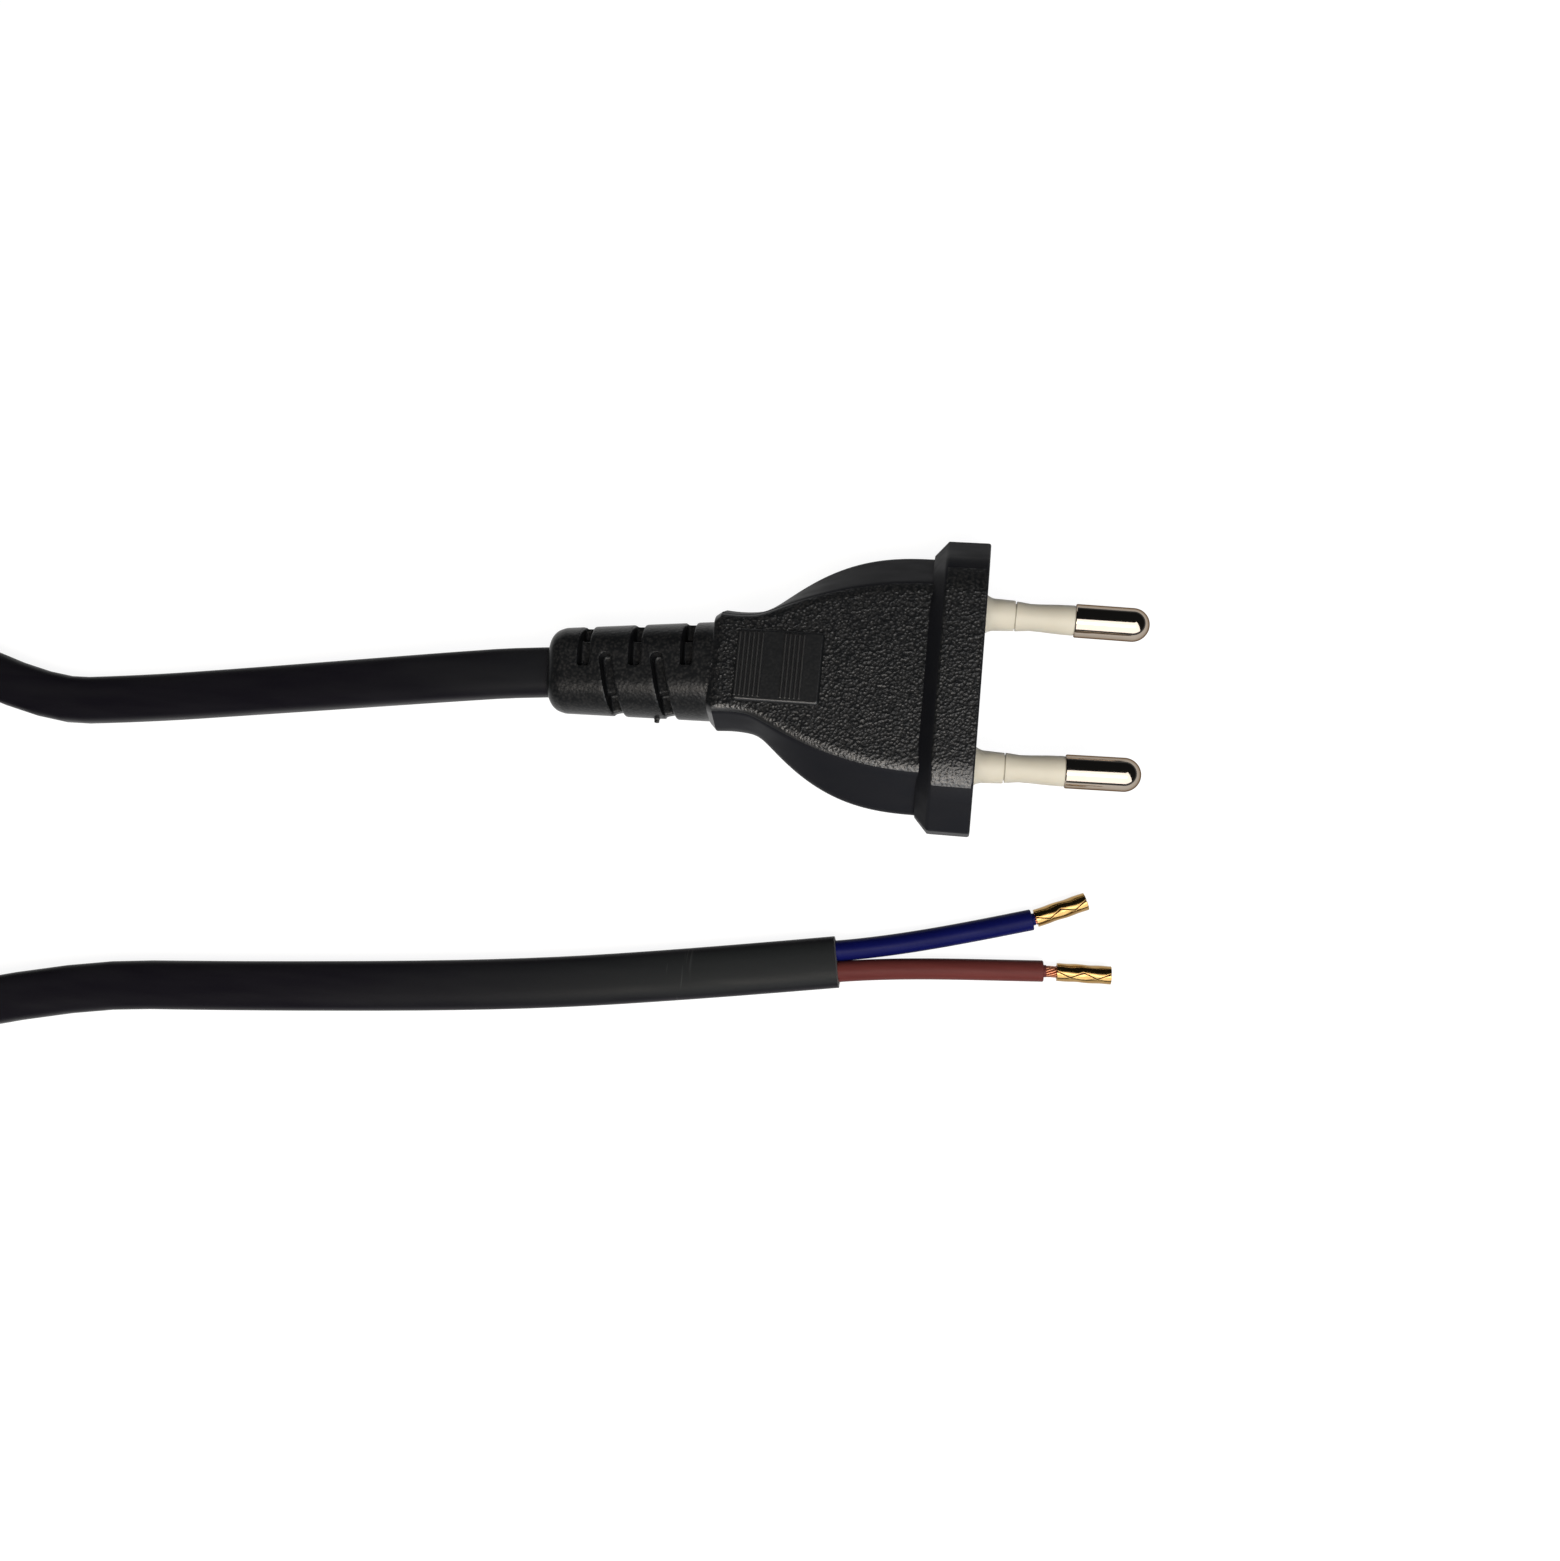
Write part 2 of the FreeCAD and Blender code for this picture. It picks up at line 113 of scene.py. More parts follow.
def arc(centre_x, centre_r, radius, start, end, count):
    """Points of a profile's arc, between two angles in degrees."""
    spots = []
    for i in range(count + 1):
        angle = math.radians(start + (end - start) * i / count)
        spots.append((centre_x + radius * math.cos(angle), centre_r + radius * math.sin(angle)))
    return spots


def new_finish(name, colour, roughness, metallic=0.0, specular=0.5):
    """New material with a bump ready for its nodes: gives it with its nodes, links, shader and bump."""
    material = bpy.data.materials.new(name)
    material.use_nodes = True
    nodes = material.node_tree.nodes
    links = material.node_tree.links
    shader = nodes["Principled BSDF"]
    shader.inputs["Base Color"].default_value = (*colour, 1)
    shader.inputs["Roughness"].default_value = roughness
    shader.inputs["Metallic"].default_value = metallic
    shader.inputs["Specular IOR Level"].default_value = specular
    bump = nodes.new("ShaderNodeBump")
    links.new(bump.outputs["Normal"], shader.inputs["Normal"])
    return material, nodes, links, shader, bump


def noise(nodes, links, scale, detail=3.0):
    """Soft noise on the piece's own coordinates, stretched along the three axes."""
    coordinates = nodes.new("ShaderNodeTexCoord")
    mapping = nodes.new("ShaderNodeMapping")
    mapping.inputs["Scale"].default_value = scale
    links.new(coordinates.outputs["Object"], mapping.inputs["Vector"])
    texture = nodes.new("ShaderNodeTexNoise")
    texture.inputs["Scale"].default_value = 1.0
    texture.inputs["Detail"].default_value = detail
    links.new(mapping.outputs["Vector"], texture.inputs["Vector"])
    return texture.outputs["Fac"]


def spread(nodes, links, value, low, high, from_low=0.3, from_high=0.7):
    """Maps a pattern's value onto a range."""
    ranged = nodes.new("ShaderNodeMapRange")
    ranged.inputs["From Min"].default_value = from_low
    ranged.inputs["From Max"].default_value = from_high
    ranged.inputs["To Min"].default_value = low
    ranged.inputs["To Max"].default_value = high
    links.new(value, ranged.inputs["Value"])
    return ranged.outputs["Result"]


def blend(nodes, links, factor, first, second):
    """Colour that runs from one, which may be a pattern too, to another with a pattern's value."""
    mix = nodes.new("ShaderNodeMix")
    mix.data_type = "RGBA"
    if isinstance(first, tuple):
        mix.inputs["A"].default_value = (*first, 1)
    else:
        links.new(first, mix.inputs["A"])
    mix.inputs["B"].default_value = (*second, 1)
    links.new(factor, mix.inputs["Factor"])
    return mix.outputs["Result"]


def colour_by(nodes, links, shader, factor, first, second):
    """Gives a finish a colour that runs from one to another with a pattern's value."""
    links.new(blend(nodes, links, factor, first, second), shader.inputs["Base Color"])


def calculate(nodes, links, operation, first, second):
    """Sum, product or larger one of two patterns, the second of which may be a number."""
    node = nodes.new("ShaderNodeMath")
    node.operation = operation
    links.new(first, node.inputs[0])
    if isinstance(second, float):
        node.inputs[1].default_value = second
    else:
        links.new(second, node.inputs[1])
    return node.outputs[0]


def raise_bump(links, bump, height, strength, depth):
    """Gives a finish its relief: a pattern, how strong it shows and how deep it is."""
    links.new(height, bump.inputs["Height"])
    bump.inputs["Strength"].default_value = strength
    bump.inputs["Distance"].default_value = depth


def stand_for(piece, finish, slot, *nodes):
    """Puts a finished piece in the place of the solids that it stands for."""
    piece.data.materials.clear()
    piece.data.materials.append(finish)
    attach(piece, "root")
    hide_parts(*nodes)


nickel, nodes, links, shader, bump = new_finish("bright_nickel", (0.38, 0.325, 0.27), 0.08, metallic=1.0)
# Painted reflection: the dark brown specular tint gives the pins' grazing rims the darkness of a mirrored
# dark room.
shader.inputs["Specular Tint"].default_value = (0.15, 0.1, 0.07, 1)
cloud = noise(nodes, links, (300, 300, 300), detail=4.0)
links.new(spread(nodes, links, cloud, 0.05, 0.12), shader.inputs["Roughness"])
colour_by(nodes, links, shader, cloud, (0.41, 0.35, 0.29), (0.35, 0.3, 0.25))
raise_bump(links, bump, noise(nodes, links, (1400, 60, 60), detail=2.0), 0.05, 0.02 * MM)

pin_profile = [
    (barrel_bore_end, 0),
    (barrel_bore_end, barrel_bore),
    (barrel_rear, barrel_bore),
    (barrel_rear, pin_radius - pin_edge),
    (barrel_rear + pin_edge, pin_radius),
    (barrel_front, pin_radius),
    (barrel_front, pin_neck_radius),
    (pin_bare_from, pin_neck_radius),
    (pin_bare_from, pin_radius - pin_edge),
    (pin_bare_from + pin_edge, pin_radius),
] + arc(pin_length - pin_radius, 0, pin_radius, 90, 0, 18)
for side, name in ((1, "left"), (-1, "right")):
    pin = swing_to_pin(turn_profile(name + "_plated_pin", pin_profile), side)
    stand_for(pin, nickel, "plated_pin", name + "_pin")

# Sleeves: insulating tubes moulded on the pins' thin necks, pale cream.
# Each is narrowest just past the collar and widens towards the bare metal.
sleeve_rear_radius = 1.5 * MM
sleeve_shoulder = 3.53 * MM
sleeve_start_radius = 1.79 * MM
sleeve_waist_radius = 1.61 * MM
sleeve_front_radius = 1.8 * MM
sleeve_waist_from = 5.2 * MM
sleeve_waist_to = 6.4 * MM
sleeve_waist_rise = 0.03 * MM
sleeve_wide_from = 8.4 * MM
sleeve_wide_rise = 0.05 * MM
sleeve_rear_edge = 0.06 * MM
sleeve_rear_drop = 0.05 * MM
sleeve_front_edge = 0.2 * MM
sleeve_front_drop = 0.08 * MM

cream, nodes, links, shader, bump = new_finish("cream_sleeve", (0.56, 0.52, 0.42), 0.45, specular=0.25)
shader.inputs["Subsurface Weight"].default_value = 0.1
shader.inputs["Subsurface Radius"].default_value = (0.0012, 0.0009, 0.0006)
shader.inputs["Subsurface Scale"].default_value = 0.6
blotch = noise(nodes, links, (260, 260, 260), detail=4.0)
colour_by(nodes, links, shader, blotch, (0.6, 0.56, 0.46), (0.52, 0.48, 0.385))
raise_bump(links, bump, noise(nodes, links, (2600, 2600, 2600), detail=2.0), 0.08, 0.03 * MM)

sleeve_profile = [
    (barrel_front, pin_neck_radius),
    (barrel_front, sleeve_rear_radius),
    (sleeve_shoulder, sleeve_rear_radius),
    (sleeve_shoulder, sleeve_start_radius - sleeve_rear_drop),
    (sleeve_shoulder + sleeve_rear_edge, sleeve_start_radius),
    (sleeve_waist_from, sleeve_waist_radius),
    (sleeve_waist_to, sleeve_waist_radius + sleeve_waist_rise),
    (sleeve_wide_from, sleeve_front_radius - sleeve_wide_rise),
    (pin_bare_from - sleeve_front_edge, sleeve_front_radius),
    (pin_bare_from, sleeve_front_radius - sleeve_front_drop),
    (pin_bare_from, pin_neck_radius),
    (barrel_front, pin_neck_radius),
]
for side, name in ((1, "left"), (-1, "right")):
    sleeve = swing_to_pin(turn_profile(name + "_cream_sleeve", sleeve_profile), side)
    stand_for(sleeve, cream, "cream_sleeve", name + "_pin_sleeve")

# Bridge: one cream moulding that holds both pins, a bar behind the face with a collar for each pin.
# The collars stand square to the face, flare at their foot and end in a fine seam round the sleeve.
bridge_front = -1.4 * MM
bridge_rear = -5.6 * MM
bridge_half_width = 12.0 * MM
bridge_half_height = 3.1 * MM
bridge_corner = 0.9 * MM
collar_root = -3.5 * MM
collar_end = 3.4 * MM
collar_foot_radius = 2.3 * MM
collar_end_radius = 1.82 * MM
collar_flare = 1.1 * MM
collar_flare_steps = 8
collar_stem_radius = 1.92 * MM
collar_end_edge = 0.1 * MM
collar_end_drop = 0.06 * MM


def block(name, low, high):
    """Box between two corners, to be eased, joined or cut with."""
    leave_edit()
    bpy.ops.mesh.primitive_cube_add(size=1)
    piece = bpy.context.object
    piece.name = name
    piece.data.transform(Matrix.Diagonal((*[b - a for a, b in zip(low, high)], 1)))
    piece.data.transform(Matrix.Translation([(a + b) / 2 for a, b in zip(low, high)]))
    return piece


def join_pieces(pieces):
    """Joins pieces into the first one."""
    take(pieces[0])
    for piece in pieces:
        piece.select_set(True)
    bpy.ops.object.join()
    return bpy.context.object


collar_profile = [
    (collar_root, sleeve_rear_radius),
    (collar_root, collar_foot_radius),
    (0, collar_foot_radius),
]
for i in range(1, collar_flare_steps + 1):
    share = i / collar_flare_steps
    swell = (collar_foot_radius - collar_stem_radius) * (1 - share) ** 2
    collar_profile.append((collar_flare * share, collar_stem_radius + swell))
collar_profile += [
    (collar_end - collar_end_edge, collar_end_radius),
    (collar_end, collar_end_radius - collar_end_drop),
    (collar_end, sleeve_rear_radius),
    (collar_root, sleeve_rear_radius),
]
bridge = block(
    "cream_pin_bridge",
    (bridge_rear, -bridge_half_width, -bridge_half_height),
    (bridge_front, bridge_half_width, bridge_half_height),
)
bpy.ops.object.mode_set(mode="EDIT")
bpy.ops.mesh.select_all(action="SELECT")
bpy.ops.mesh.bevel(offset=bridge_corner, segments=3, affect="EDGES")
bpy.ops.object.mode_set(mode="OBJECT")
collars = []
for side in (1, -1):
    collar = turn_profile("collar", collar_profile)
    collar.data.transform(Matrix.Translation((0, side * pin_foot, 0)))
    collars.append(collar)
bridge = join_pieces([bridge, *collars])
bpy.ops.object.shade_smooth_by_angle(angle=math.radians(35))
stand_for(bridge, cream, "cream_bridge", "pin_bridge")

# Cores inside the moulding: blue and brown PVC on bunched copper, bared into the pins' barrels.
# They keep their own solids, which the moulding hides, in the finishes of the cores at the far end.
core_colours = {
    "blue": ((0.0036, 0.0052, 0.07), (0.0026, 0.0038, 0.052)),
    "brown": ((0.12, 0.029, 0.025), (0.088, 0.02, 0.018)),
}
core_finishes = {}
for name, (light, dark) in core_colours.items():
    finish, nodes, links, shader, bump = new_finish(name + "_core_pvc", light, 0.42, specular=0.06)
    streak = noise(nodes, links, (60, 900, 900))
    colour_by(nodes, links, shader, spread(nodes, links, streak, 0, 1), light, dark)
    links.new(spread(nodes, links, streak, 0.34, 0.48), shader.inputs["Roughness"])
    raise_bump(links, bump, streak, 0.12, 0.03 * MM)
    core_finishes[name] = finish

copper, nodes, links, shader, bump = new_finish("bare_copper", (0.72, 0.33, 0.19), 0.3, metallic=1.0)
lustre = noise(nodes, links, (700, 700, 700))
colour_by(nodes, links, shader, lustre, (0.62, 0.27, 0.15), (0.3, 0.1, 0.05))
links.new(spread(nodes, links, lustre, 0.2, 0.4), shader.inputs["Roughness"])
raise_bump(links, bump, lustre, 0.1, 0.02 * MM)

for node, finish in (
    ("left_inner_core", core_finishes["blue"]),
    ("right_inner_core", core_finishes["brown"]),
    ("left_inner_strands", copper),
    ("right_inner_strands", copper),
):
    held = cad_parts[node].data
    held.materials.clear()
    held.materials.append(finish)

# Moulding: soft black PVC cast round the bridge, the cores and the end of the sheath in one shot.
# A six-sided flange with a sloped back, a bell-shaped body with slanted sides, a ribbed panel on the top
# and the bottom, and an oval strain relief whose slots come in from the two sides in turn.
flange_half_width = 17.65 * MM
flange_half_flat = 12.75 * MM
flange_half_end = 1.7 * MM
flange_top = 6.85 * MM
flange_rim = 5.0 * MM
flange_back = 6.6 * MM
flange_draw_in = 1.75 * MM
flange_drop = 2.05 * MM
flange_shoulder_ease = 2.7 * MM
flange_side_ease = 0.3 * MM
flange_face_ease = 0.28 * MM
flange_rim_ease = 0.35 * MM
body_front = -3.0 * MM
body_top = 4.8 * MM
body_half_width = 16.25 * MM
body_half_flat = 11.1 * MM
body_length = 32.2 * MM
body_steps = 44
bell_length = 26.0 * MM
bell_power = 2.62
flat_length = 27.0 * MM
flat_power = 1.95
bell_softness = 0.06
neck_half_width = 7.5 * MM
neck_half_flat = 5.8 * MM
neck_flare = 0.3 * MM
neck_lean = 0.22 * MM
neck_flare_length = 3.6 * MM
neck_chamfer = 0.9 * MM
neck_chamfer_side = 1.1 * MM
neck_chamfer_top = 0.5 * MM
body_shoulder_ease = 0.9 * MM
body_side_ease = 1.2 * MM
body_end_ease = 0.25 * MM
touch = 0.01 * MM
shortest_run = 0.3 * MM


def pick_edges(piece, test):
    """Selects the edges of a piece whose two ends pass a test, in edit mode."""
    take(piece)
    bpy.ops.object.mode_set(mode="EDIT")
    bpy.ops.mesh.select_mode(type="EDGE")
    bpy.ops.mesh.select_all(action="DESELECT")
    mesh = bmesh.from_edit_mesh(piece.data)
    for edge in mesh.edges:
        if test(edge.verts[0].co, edge.verts[1].co):
            edge.select = True
    mesh.select_flush_mode()
    bmesh.update_edit_mesh(piece.data)


def ease_edges(piece, test, width, steps):
    """Rounds the edges that pass a test."""
    pick_edges(piece, test)
    bpy.ops.mesh.bevel(offset=width, segments=steps, profile=0.5, affect="EDGES", clamp_overlap=True)
    bpy.ops.object.mode_set(mode="OBJECT")


def start_section(name, x, outline):
    """Starts a piece from a closed outline across the plug at x, ready to be extruded."""
    piece = new_piece(name, [(x, y, z) for y, z in outline], (), [tuple(range(len(outline)))])
    bpy.ops.object.mode_set(mode="EDIT")
    bpy.ops.mesh.select_all(action="SELECT")
    return piece


def pull_section(piece, x, reshape):
    """Extrudes the selected end face to x and gives its corners their new places."""
    bpy.ops.mesh.extrude_region_move()
    mesh = bmesh.from_edit_mesh(piece.data)
    for corner in mesh.verts:
        if corner.select:
            corner.co = (x, *reshape(corner.co))
    bmesh.update_edit_mesh(piece.data)


def runs_along(a, b):
    """True for an edge that goes along the plug, sloped or not."""
    return abs(a.x - b.x) > shortest_run


def lies_at(x):
    """Test for the edges of the section at x."""
    return lambda a, b: abs(a.x - x) + abs(b.x - x) < touch


def apply_modifier(piece, kind, **settings):
    """Adds a modifier to a piece, sets it and applies it."""
    take(piece)
    modifier = piece.modifiers.new(kind, kind)
    for key, value in settings.items():
        setattr(modifier, key, value)
    bpy.ops.object.modifier_apply(modifier=modifier.name)


def flange_foot(corner):
    """Draws the flange's outline in to the foot of its sloped back."""
    drop = flange_drop if abs(corner.z) > flange_half_end + touch else flange_drop / 4
    return (
        math.copysign(abs(corner.y) - flange_draw_in, corner.y),
        math.copysign(abs(corner.z) - drop, corner.z),
    )


quarter = [(flange_half_flat, flange_top), (flange_half_width, flange_half_end)]
half = quarter + [(y, -z) for y, z in reversed(quarter)]
flange = start_section("flange", 0, half + [(-y, -z) for y, z in half])
pull_section(flange, -flange_rim, lambda corner: (corner.y, corner.z))
pull_section(flange, -flange_back, flange_foot)
tidy_mesh()
side_top = flange_half_end + touch
ease_edges(flange, lambda a, b: runs_along(a, b) and abs(a.z) > side_top, flange_shoulder_ease, 10)
ease_edges(
    flange,
    lambda a, b: runs_along(a, b) and max(abs(a.z), abs(b.z)) < side_top,
    flange_side_ease,
    4,
)
ease_edges(flange, lies_at(0), flange_face_ease, 3)
ease_edges(flange, lies_at(-flange_rim), flange_rim_ease, 3)


def bell(x, length, power):
    """Rise of the body's plan from 0 at the neck to 1 at the flange, soft at its start."""
    share = (x + length) / (length - flange_back)
    soft = min((share + math.hypot(share, bell_softness)) / 2, 1)
    return 1 - (1 - soft) ** power


def body_outline(x):
    """Half widths of the body at x, at mid-height and of its flat top."""
    flare = neck_flare * max(0, 1 - (x + body_length) / neck_flare_length) ** 2
    width = neck_half_width + (body_half_width - neck_half_width) * bell(x, bell_length, bell_power)
    flat = neck_half_flat + (body_half_flat - neck_half_flat) * bell(x, flat_length, flat_power)
    return width + flare, flat + flare


def body_corner(x, side_inset=0.0, top_inset=0.0):
    """Gives a corner of the six-sided section its place at x, drawn in at the neck's chamfered end."""
    width, flat = body_outline(x)
    lean = neck_lean * (1 - bell(x, bell_length, bell_power))

    def place(corner):
        """A corner of the flat top or bottom, or one of the two at mid-height."""
        if abs(corner.z) < touch:
            return math.copysign(width - side_inset, corner.y) + lean, 0
        y = math.copysign(flat - top_inset, corner.y) + lean
        return y, math.copysign(body_top - top_inset, corner.z)

    return place


six = [(1, body_top), (-1, body_top), (-1, 0), (-1, -body_top), (1, -body_top), (1, 0)]
first_corner = body_corner(body_front)
body = start_section("body", body_front, [first_corner(Vector((0, y, z))) for y, z in six])
for i in range(1, body_steps + 1):
    x = body_front - (body_length - neck_chamfer + body_front) * i / body_steps
    pull_section(body, x, body_corner(x))
pull_section(body, -body_length, body_corner(-body_length, neck_chamfer_side, neck_chamfer_top))
tidy_mesh()
ease_edges(
    body,
    lambda a, b: runs_along(a, b) and min(abs(a.z), abs(b.z)) > touch,
    body_shoulder_ease,
    6,
)
ease_edges(body, lambda a, b: runs_along(a, b) and abs(a.z) + abs(b.z) < touch, body_side_ease, 4)
ease_edges(body, lies_at(-body_length), body_end_ease, 2)

panel_start = 18.6 * MM
panel_length = 10.4 * MM
panel_half_width = 4.4 * MM
panel_rise = 0.42 * MM
panel_foot = 1.0 * MM
panel_corner = 0.5 * MM
panel_edge = 0.34 * MM
rib_pitch = 0.55 * MM
rib_width = 0.28 * MM
rib_rise = 0.27 * MM
rib_margin = 0.5 * MM
rib_edge = 0.1 * MM
rib_groups = ((2.35 * MM, 5), (7.26 * MM, 6))


def stands_up(a, b):
    """True for an upright edge."""
    return abs(a.z - b.z) > abs(a.x - b.x) + abs(a.y - b.y)


panel_top = body_top + panel_rise
panel = block(
    "panel",
    (-panel_start - panel_length, -panel_half_width, body_top - panel_foot),
    (-panel_start, panel_half_width, panel_top),
)
ease_edges(panel, stands_up, panel_corner, 4)
ease_edges(panel, lambda a, b: a.z + b.z > 2 * panel_top - touch, panel_edge, 3)
grip = [panel]
rib_top = panel_top + rib_rise
for offset, count in rib_groups:
    for i in range(count):
        middle = -panel_start - offset - i * rib_pitch
        rib = block(
            "rib",
            (middle - rib_width / 2, rib_margin - panel_half_width, body_top),
            (middle + rib_width / 2, panel_half_width - rib_margin, rib_top),
        )
        ease_edges(rib, lambda a, b: a.z + b.z > 2 * rib_top - touch, rib_edge, 2)
        grip.append(rib)
panel = join_pieces(grip)
apply_modifier(panel, "MIRROR", use_axis=(False, False, True), use_mirror_merge=False)

relief_length = 20.6 * MM
relief_bend = math.radians(3.4)
relief_flat = 1.65 * MM
relief_root_rise = 4.5 * MM
relief_end_rise = 3.65 * MM
relief_round = 1.9 * MM
relief_overlap = 1.5 * MM
relief_around = 64
relief_steps = 16
slot_count = 5
slot_pitch = 3.2 * MM
slot_from_end = 4.9 * MM
slot_half = 0.72 * MM
slot_step = 0.02 * MM
slot_end_round = 0.98 * slot_half
slot_floor = 2.1 * MM
slot_side_wall = 3.2 * MM
slot_web = 0.65 * MM
web_notch = 0.28 * MM
slot_lean = math.radians(11)
left_slot_end = -0.2 * MM
right_slot_end = 1.4 * MM
slot_reach = 8.0 * MM
nib_back = 7.0 * MM
nib_half = 0.28 * MM
nib_reach = 6.5 * MM
nib_foot = 5.0 * MM
relief_grid = 0.14 * MM


def relief_rise(x):
    """Half height of the tapered relief at x, measured from its root."""
    return relief_root_rise + (relief_end_rise - relief_root_rise) * -x / relief_length


rings = []
for i in range(relief_steps + 1):
    x = relief_overlap - (relief_length + relief_overlap - relief_round) * i / relief_steps
    rings.append((x, relief_rise(x)))
rounding = arc(relief_round - relief_length, relief_end_rise - relief_round, relief_round, 90, 180, 8)
rings += rounding[1:]


def oval(rise):
    """Relief's outline: two half circles joined by flats."""
    spots = []
    for i in range(relief_around):
        angle = math.tau * (i + 0.5) / relief_around
        flat = math.copysign(relief_flat, math.cos(angle))
        spots.append((flat + rise * math.cos(angle), rise * math.sin(angle)))
    return spots


def redraw_oval(before, after):
    """Draws a spot of the oval in or out from one half height to another."""

    def place(spot):
        flat = math.copysign(relief_flat, spot.y)
        return flat + (spot.y - flat) * after / before, spot.z * after / before

    return place


relief = start_section("relief", rings[0][0], oval(rings[0][1]))
for (_, before), (x, rise) in zip(rings, rings[1:]):
    pull_section(relief, x, redraw_oval(before, rise))
tidy_mesh()
for i in range(slot_count):
    x = slot_from_end - relief_length + i * slot_pitch
    side = 1 if i % 2 == 0 else -1
    inner = left_slot_end if side > 0 else right_slot_end
    cutters = []
    deep_part = (inner, slot_floor, slot_half)
    side_part = (side * slot_side_wall, slot_web, slot_half - slot_step)
    for near, floor, wide in (deep_part, side_part):
        low_y, high_y = sorted((near, side * slot_reach))
        cutters.append(block("slot", (x - wide, low_y, floor), (x + wide, high_y, slot_reach)))
    if side < 0:
        ease_edges(
            cutters[0],
            lambda a, b: stands_up(a, b) and abs(a.y - inner) < touch,
            slot_end_round,
            6,
        )
    for cutter in cutters:
        apply_modifier(cutter, "MIRROR", use_axis=(False, False, True), use_mirror_merge=False)
    low_y, high_y = sorted((side * (relief_flat + relief_rise(x) - web_notch), side * slot_reach))
    wide = slot_half - 2 * slot_step
    cutters.append(block("notch", (x - wide, low_y, -slot_reach), (x + wide, high_y, slot_reach)))
    for cutter in cutters:
        if side < 0:
            pivot = Vector((x, -relief_flat, 0))
            cutter.data.transform(Matrix.Translation(-pivot))
            cutter.data.transform(Matrix.Rotation(slot_lean, 4, "Z"))
            cutter.data.transform(Matrix.Translation(pivot))
        apply_modifier(relief, "BOOLEAN", operation="DIFFERENCE", object=cutter, solver="EXACT")
        bpy.data.objects.remove(cutter)
nib = block(
    "nib",
    (-nib_back - nib_half, -nib_reach, -nib_half),
    (nib_half - nib_back, -nib_foot, nib_half),
)
relief = join_pieces([relief, nib])
apply_modifier(relief, "REMESH", mode="VOXEL", voxel_size=relief_grid, adaptivity=0)
apply_modifier(relief, "SMOOTH", factor=0.5, iterations=6)
relief.data.transform(Matrix.Rotation(relief_bend, 4, "Z"))
relief.data.transform(Matrix.Translation((-body_length, 0, 0)))

for piece in (body, panel, relief):
    folds = piece is panel
    apply_modifier(flange, "BOOLEAN", operation="UNION", object=piece, solver="EXACT", use_self=folds)
    bpy.data.objects.remove(piece)
moulding = flange
moulding.name = "black_moulding"
take(moulding)
tidy_mesh(merge=0.5e-6)
bpy.ops.object.shade_smooth_by_angle(angle=math.radians(32))
apply_modifier(moulding, "WEIGHTED_NORMAL", keep_sharp=True)

grain_cells = 2700.0
grain_depth = 0.075 * MM
relief_seam = (-33.0 * MM, -31.8 * MM)
panel_fade = 0.3 * MM
panel_end = -panel_start - panel_length
panel_climb = (body_top + 0.05 * MM, body_top + 0.15 * MM)
rib_climb = (panel_top + 0.08 * MM, panel_top + 0.2 * MM)


def split_axes(nodes, links, kind, output):
    """X, Y and Z of what a node tells about each spot of a piece."""
    given = nodes.new(kind)
    parts = nodes.new("ShaderNodeSeparateXYZ")
    links.new(given.outputs[output], parts.inputs["Vector"])
    return parts.outputs


def unsigned(nodes, links, value):
    """A value without its sign, so that both sides of the plug are alike."""
    node = nodes.new("ShaderNodeMath")
    node.operation = "ABSOLUTE"
    links.new(value, node.inputs[0])
    return node.outputs[0]


# The grain is deep on the flats and faint on the relief and the panel. Its crests and the rib tops are
# painted paler, a painted highlight in place of the glints of light on them.
black_pvc, nodes, links, shader, bump = new_finish("black_grained_pvc", (0.009, 0.009, 0.0095), 0.3)
facing = split_axes(nodes, links, "ShaderNodeNewGeometry", "Normal")
spot = split_axes(nodes, links, "ShaderNodeTexCoord", "Object")
tops = spread(nodes, links, unsigned(nodes, links, facing["Z"]), 0, 1, 0.84, 0.95)
relief_share = spread(nodes, links, spot["X"], 1, 0, *relief_seam)
sideways = spread(nodes, links, unsigned(nodes, links, facing["X"]), 1, 0, 0.3, 0.6)
on_relief = calculate(nodes, links, "MULTIPLY", relief_share, sideways)
off_relief = spread(nodes, links, relief_share, 1, 0, 0, 1)
grained = calculate(nodes, links, "MULTIPLY", tops, off_relief)
grained = calculate(nodes, links, "MAXIMUM", grained, spread(nodes, links, on_relief, 0, 0.28, 0, 1))
# Share of the painted highlight on the grain's crests: full on the flats, less on the relief and the
# panel.
glint_paint_share = calculate(nodes, links, "MAXIMUM", tops, spread(nodes, links, on_relief, 0, 0.75, 0, 1))
height = unsigned(nodes, links, spot["Z"])
ahead = spread(nodes, links, spot["X"], 0, 1, -panel_start, panel_fade - panel_start)
behind = spread(nodes, links, spot["X"], 1, 0, panel_end - panel_fade, panel_end)
below = spread(nodes, links, height, 1, 0, *panel_climb)
off_panel = calculate(nodes, links, "MAXIMUM", calculate(nodes, links, "MAXIMUM", ahead, behind), below)
grained = calculate(nodes, links, "MULTIPLY", grained, spread(nodes, links, off_panel, 0.14, 1, 0, 1))
glint_paint_share = calculate(nodes, links, "MULTIPLY", glint_paint_share, spread(nodes, links, off_panel, 0.3, 1, 0, 1))
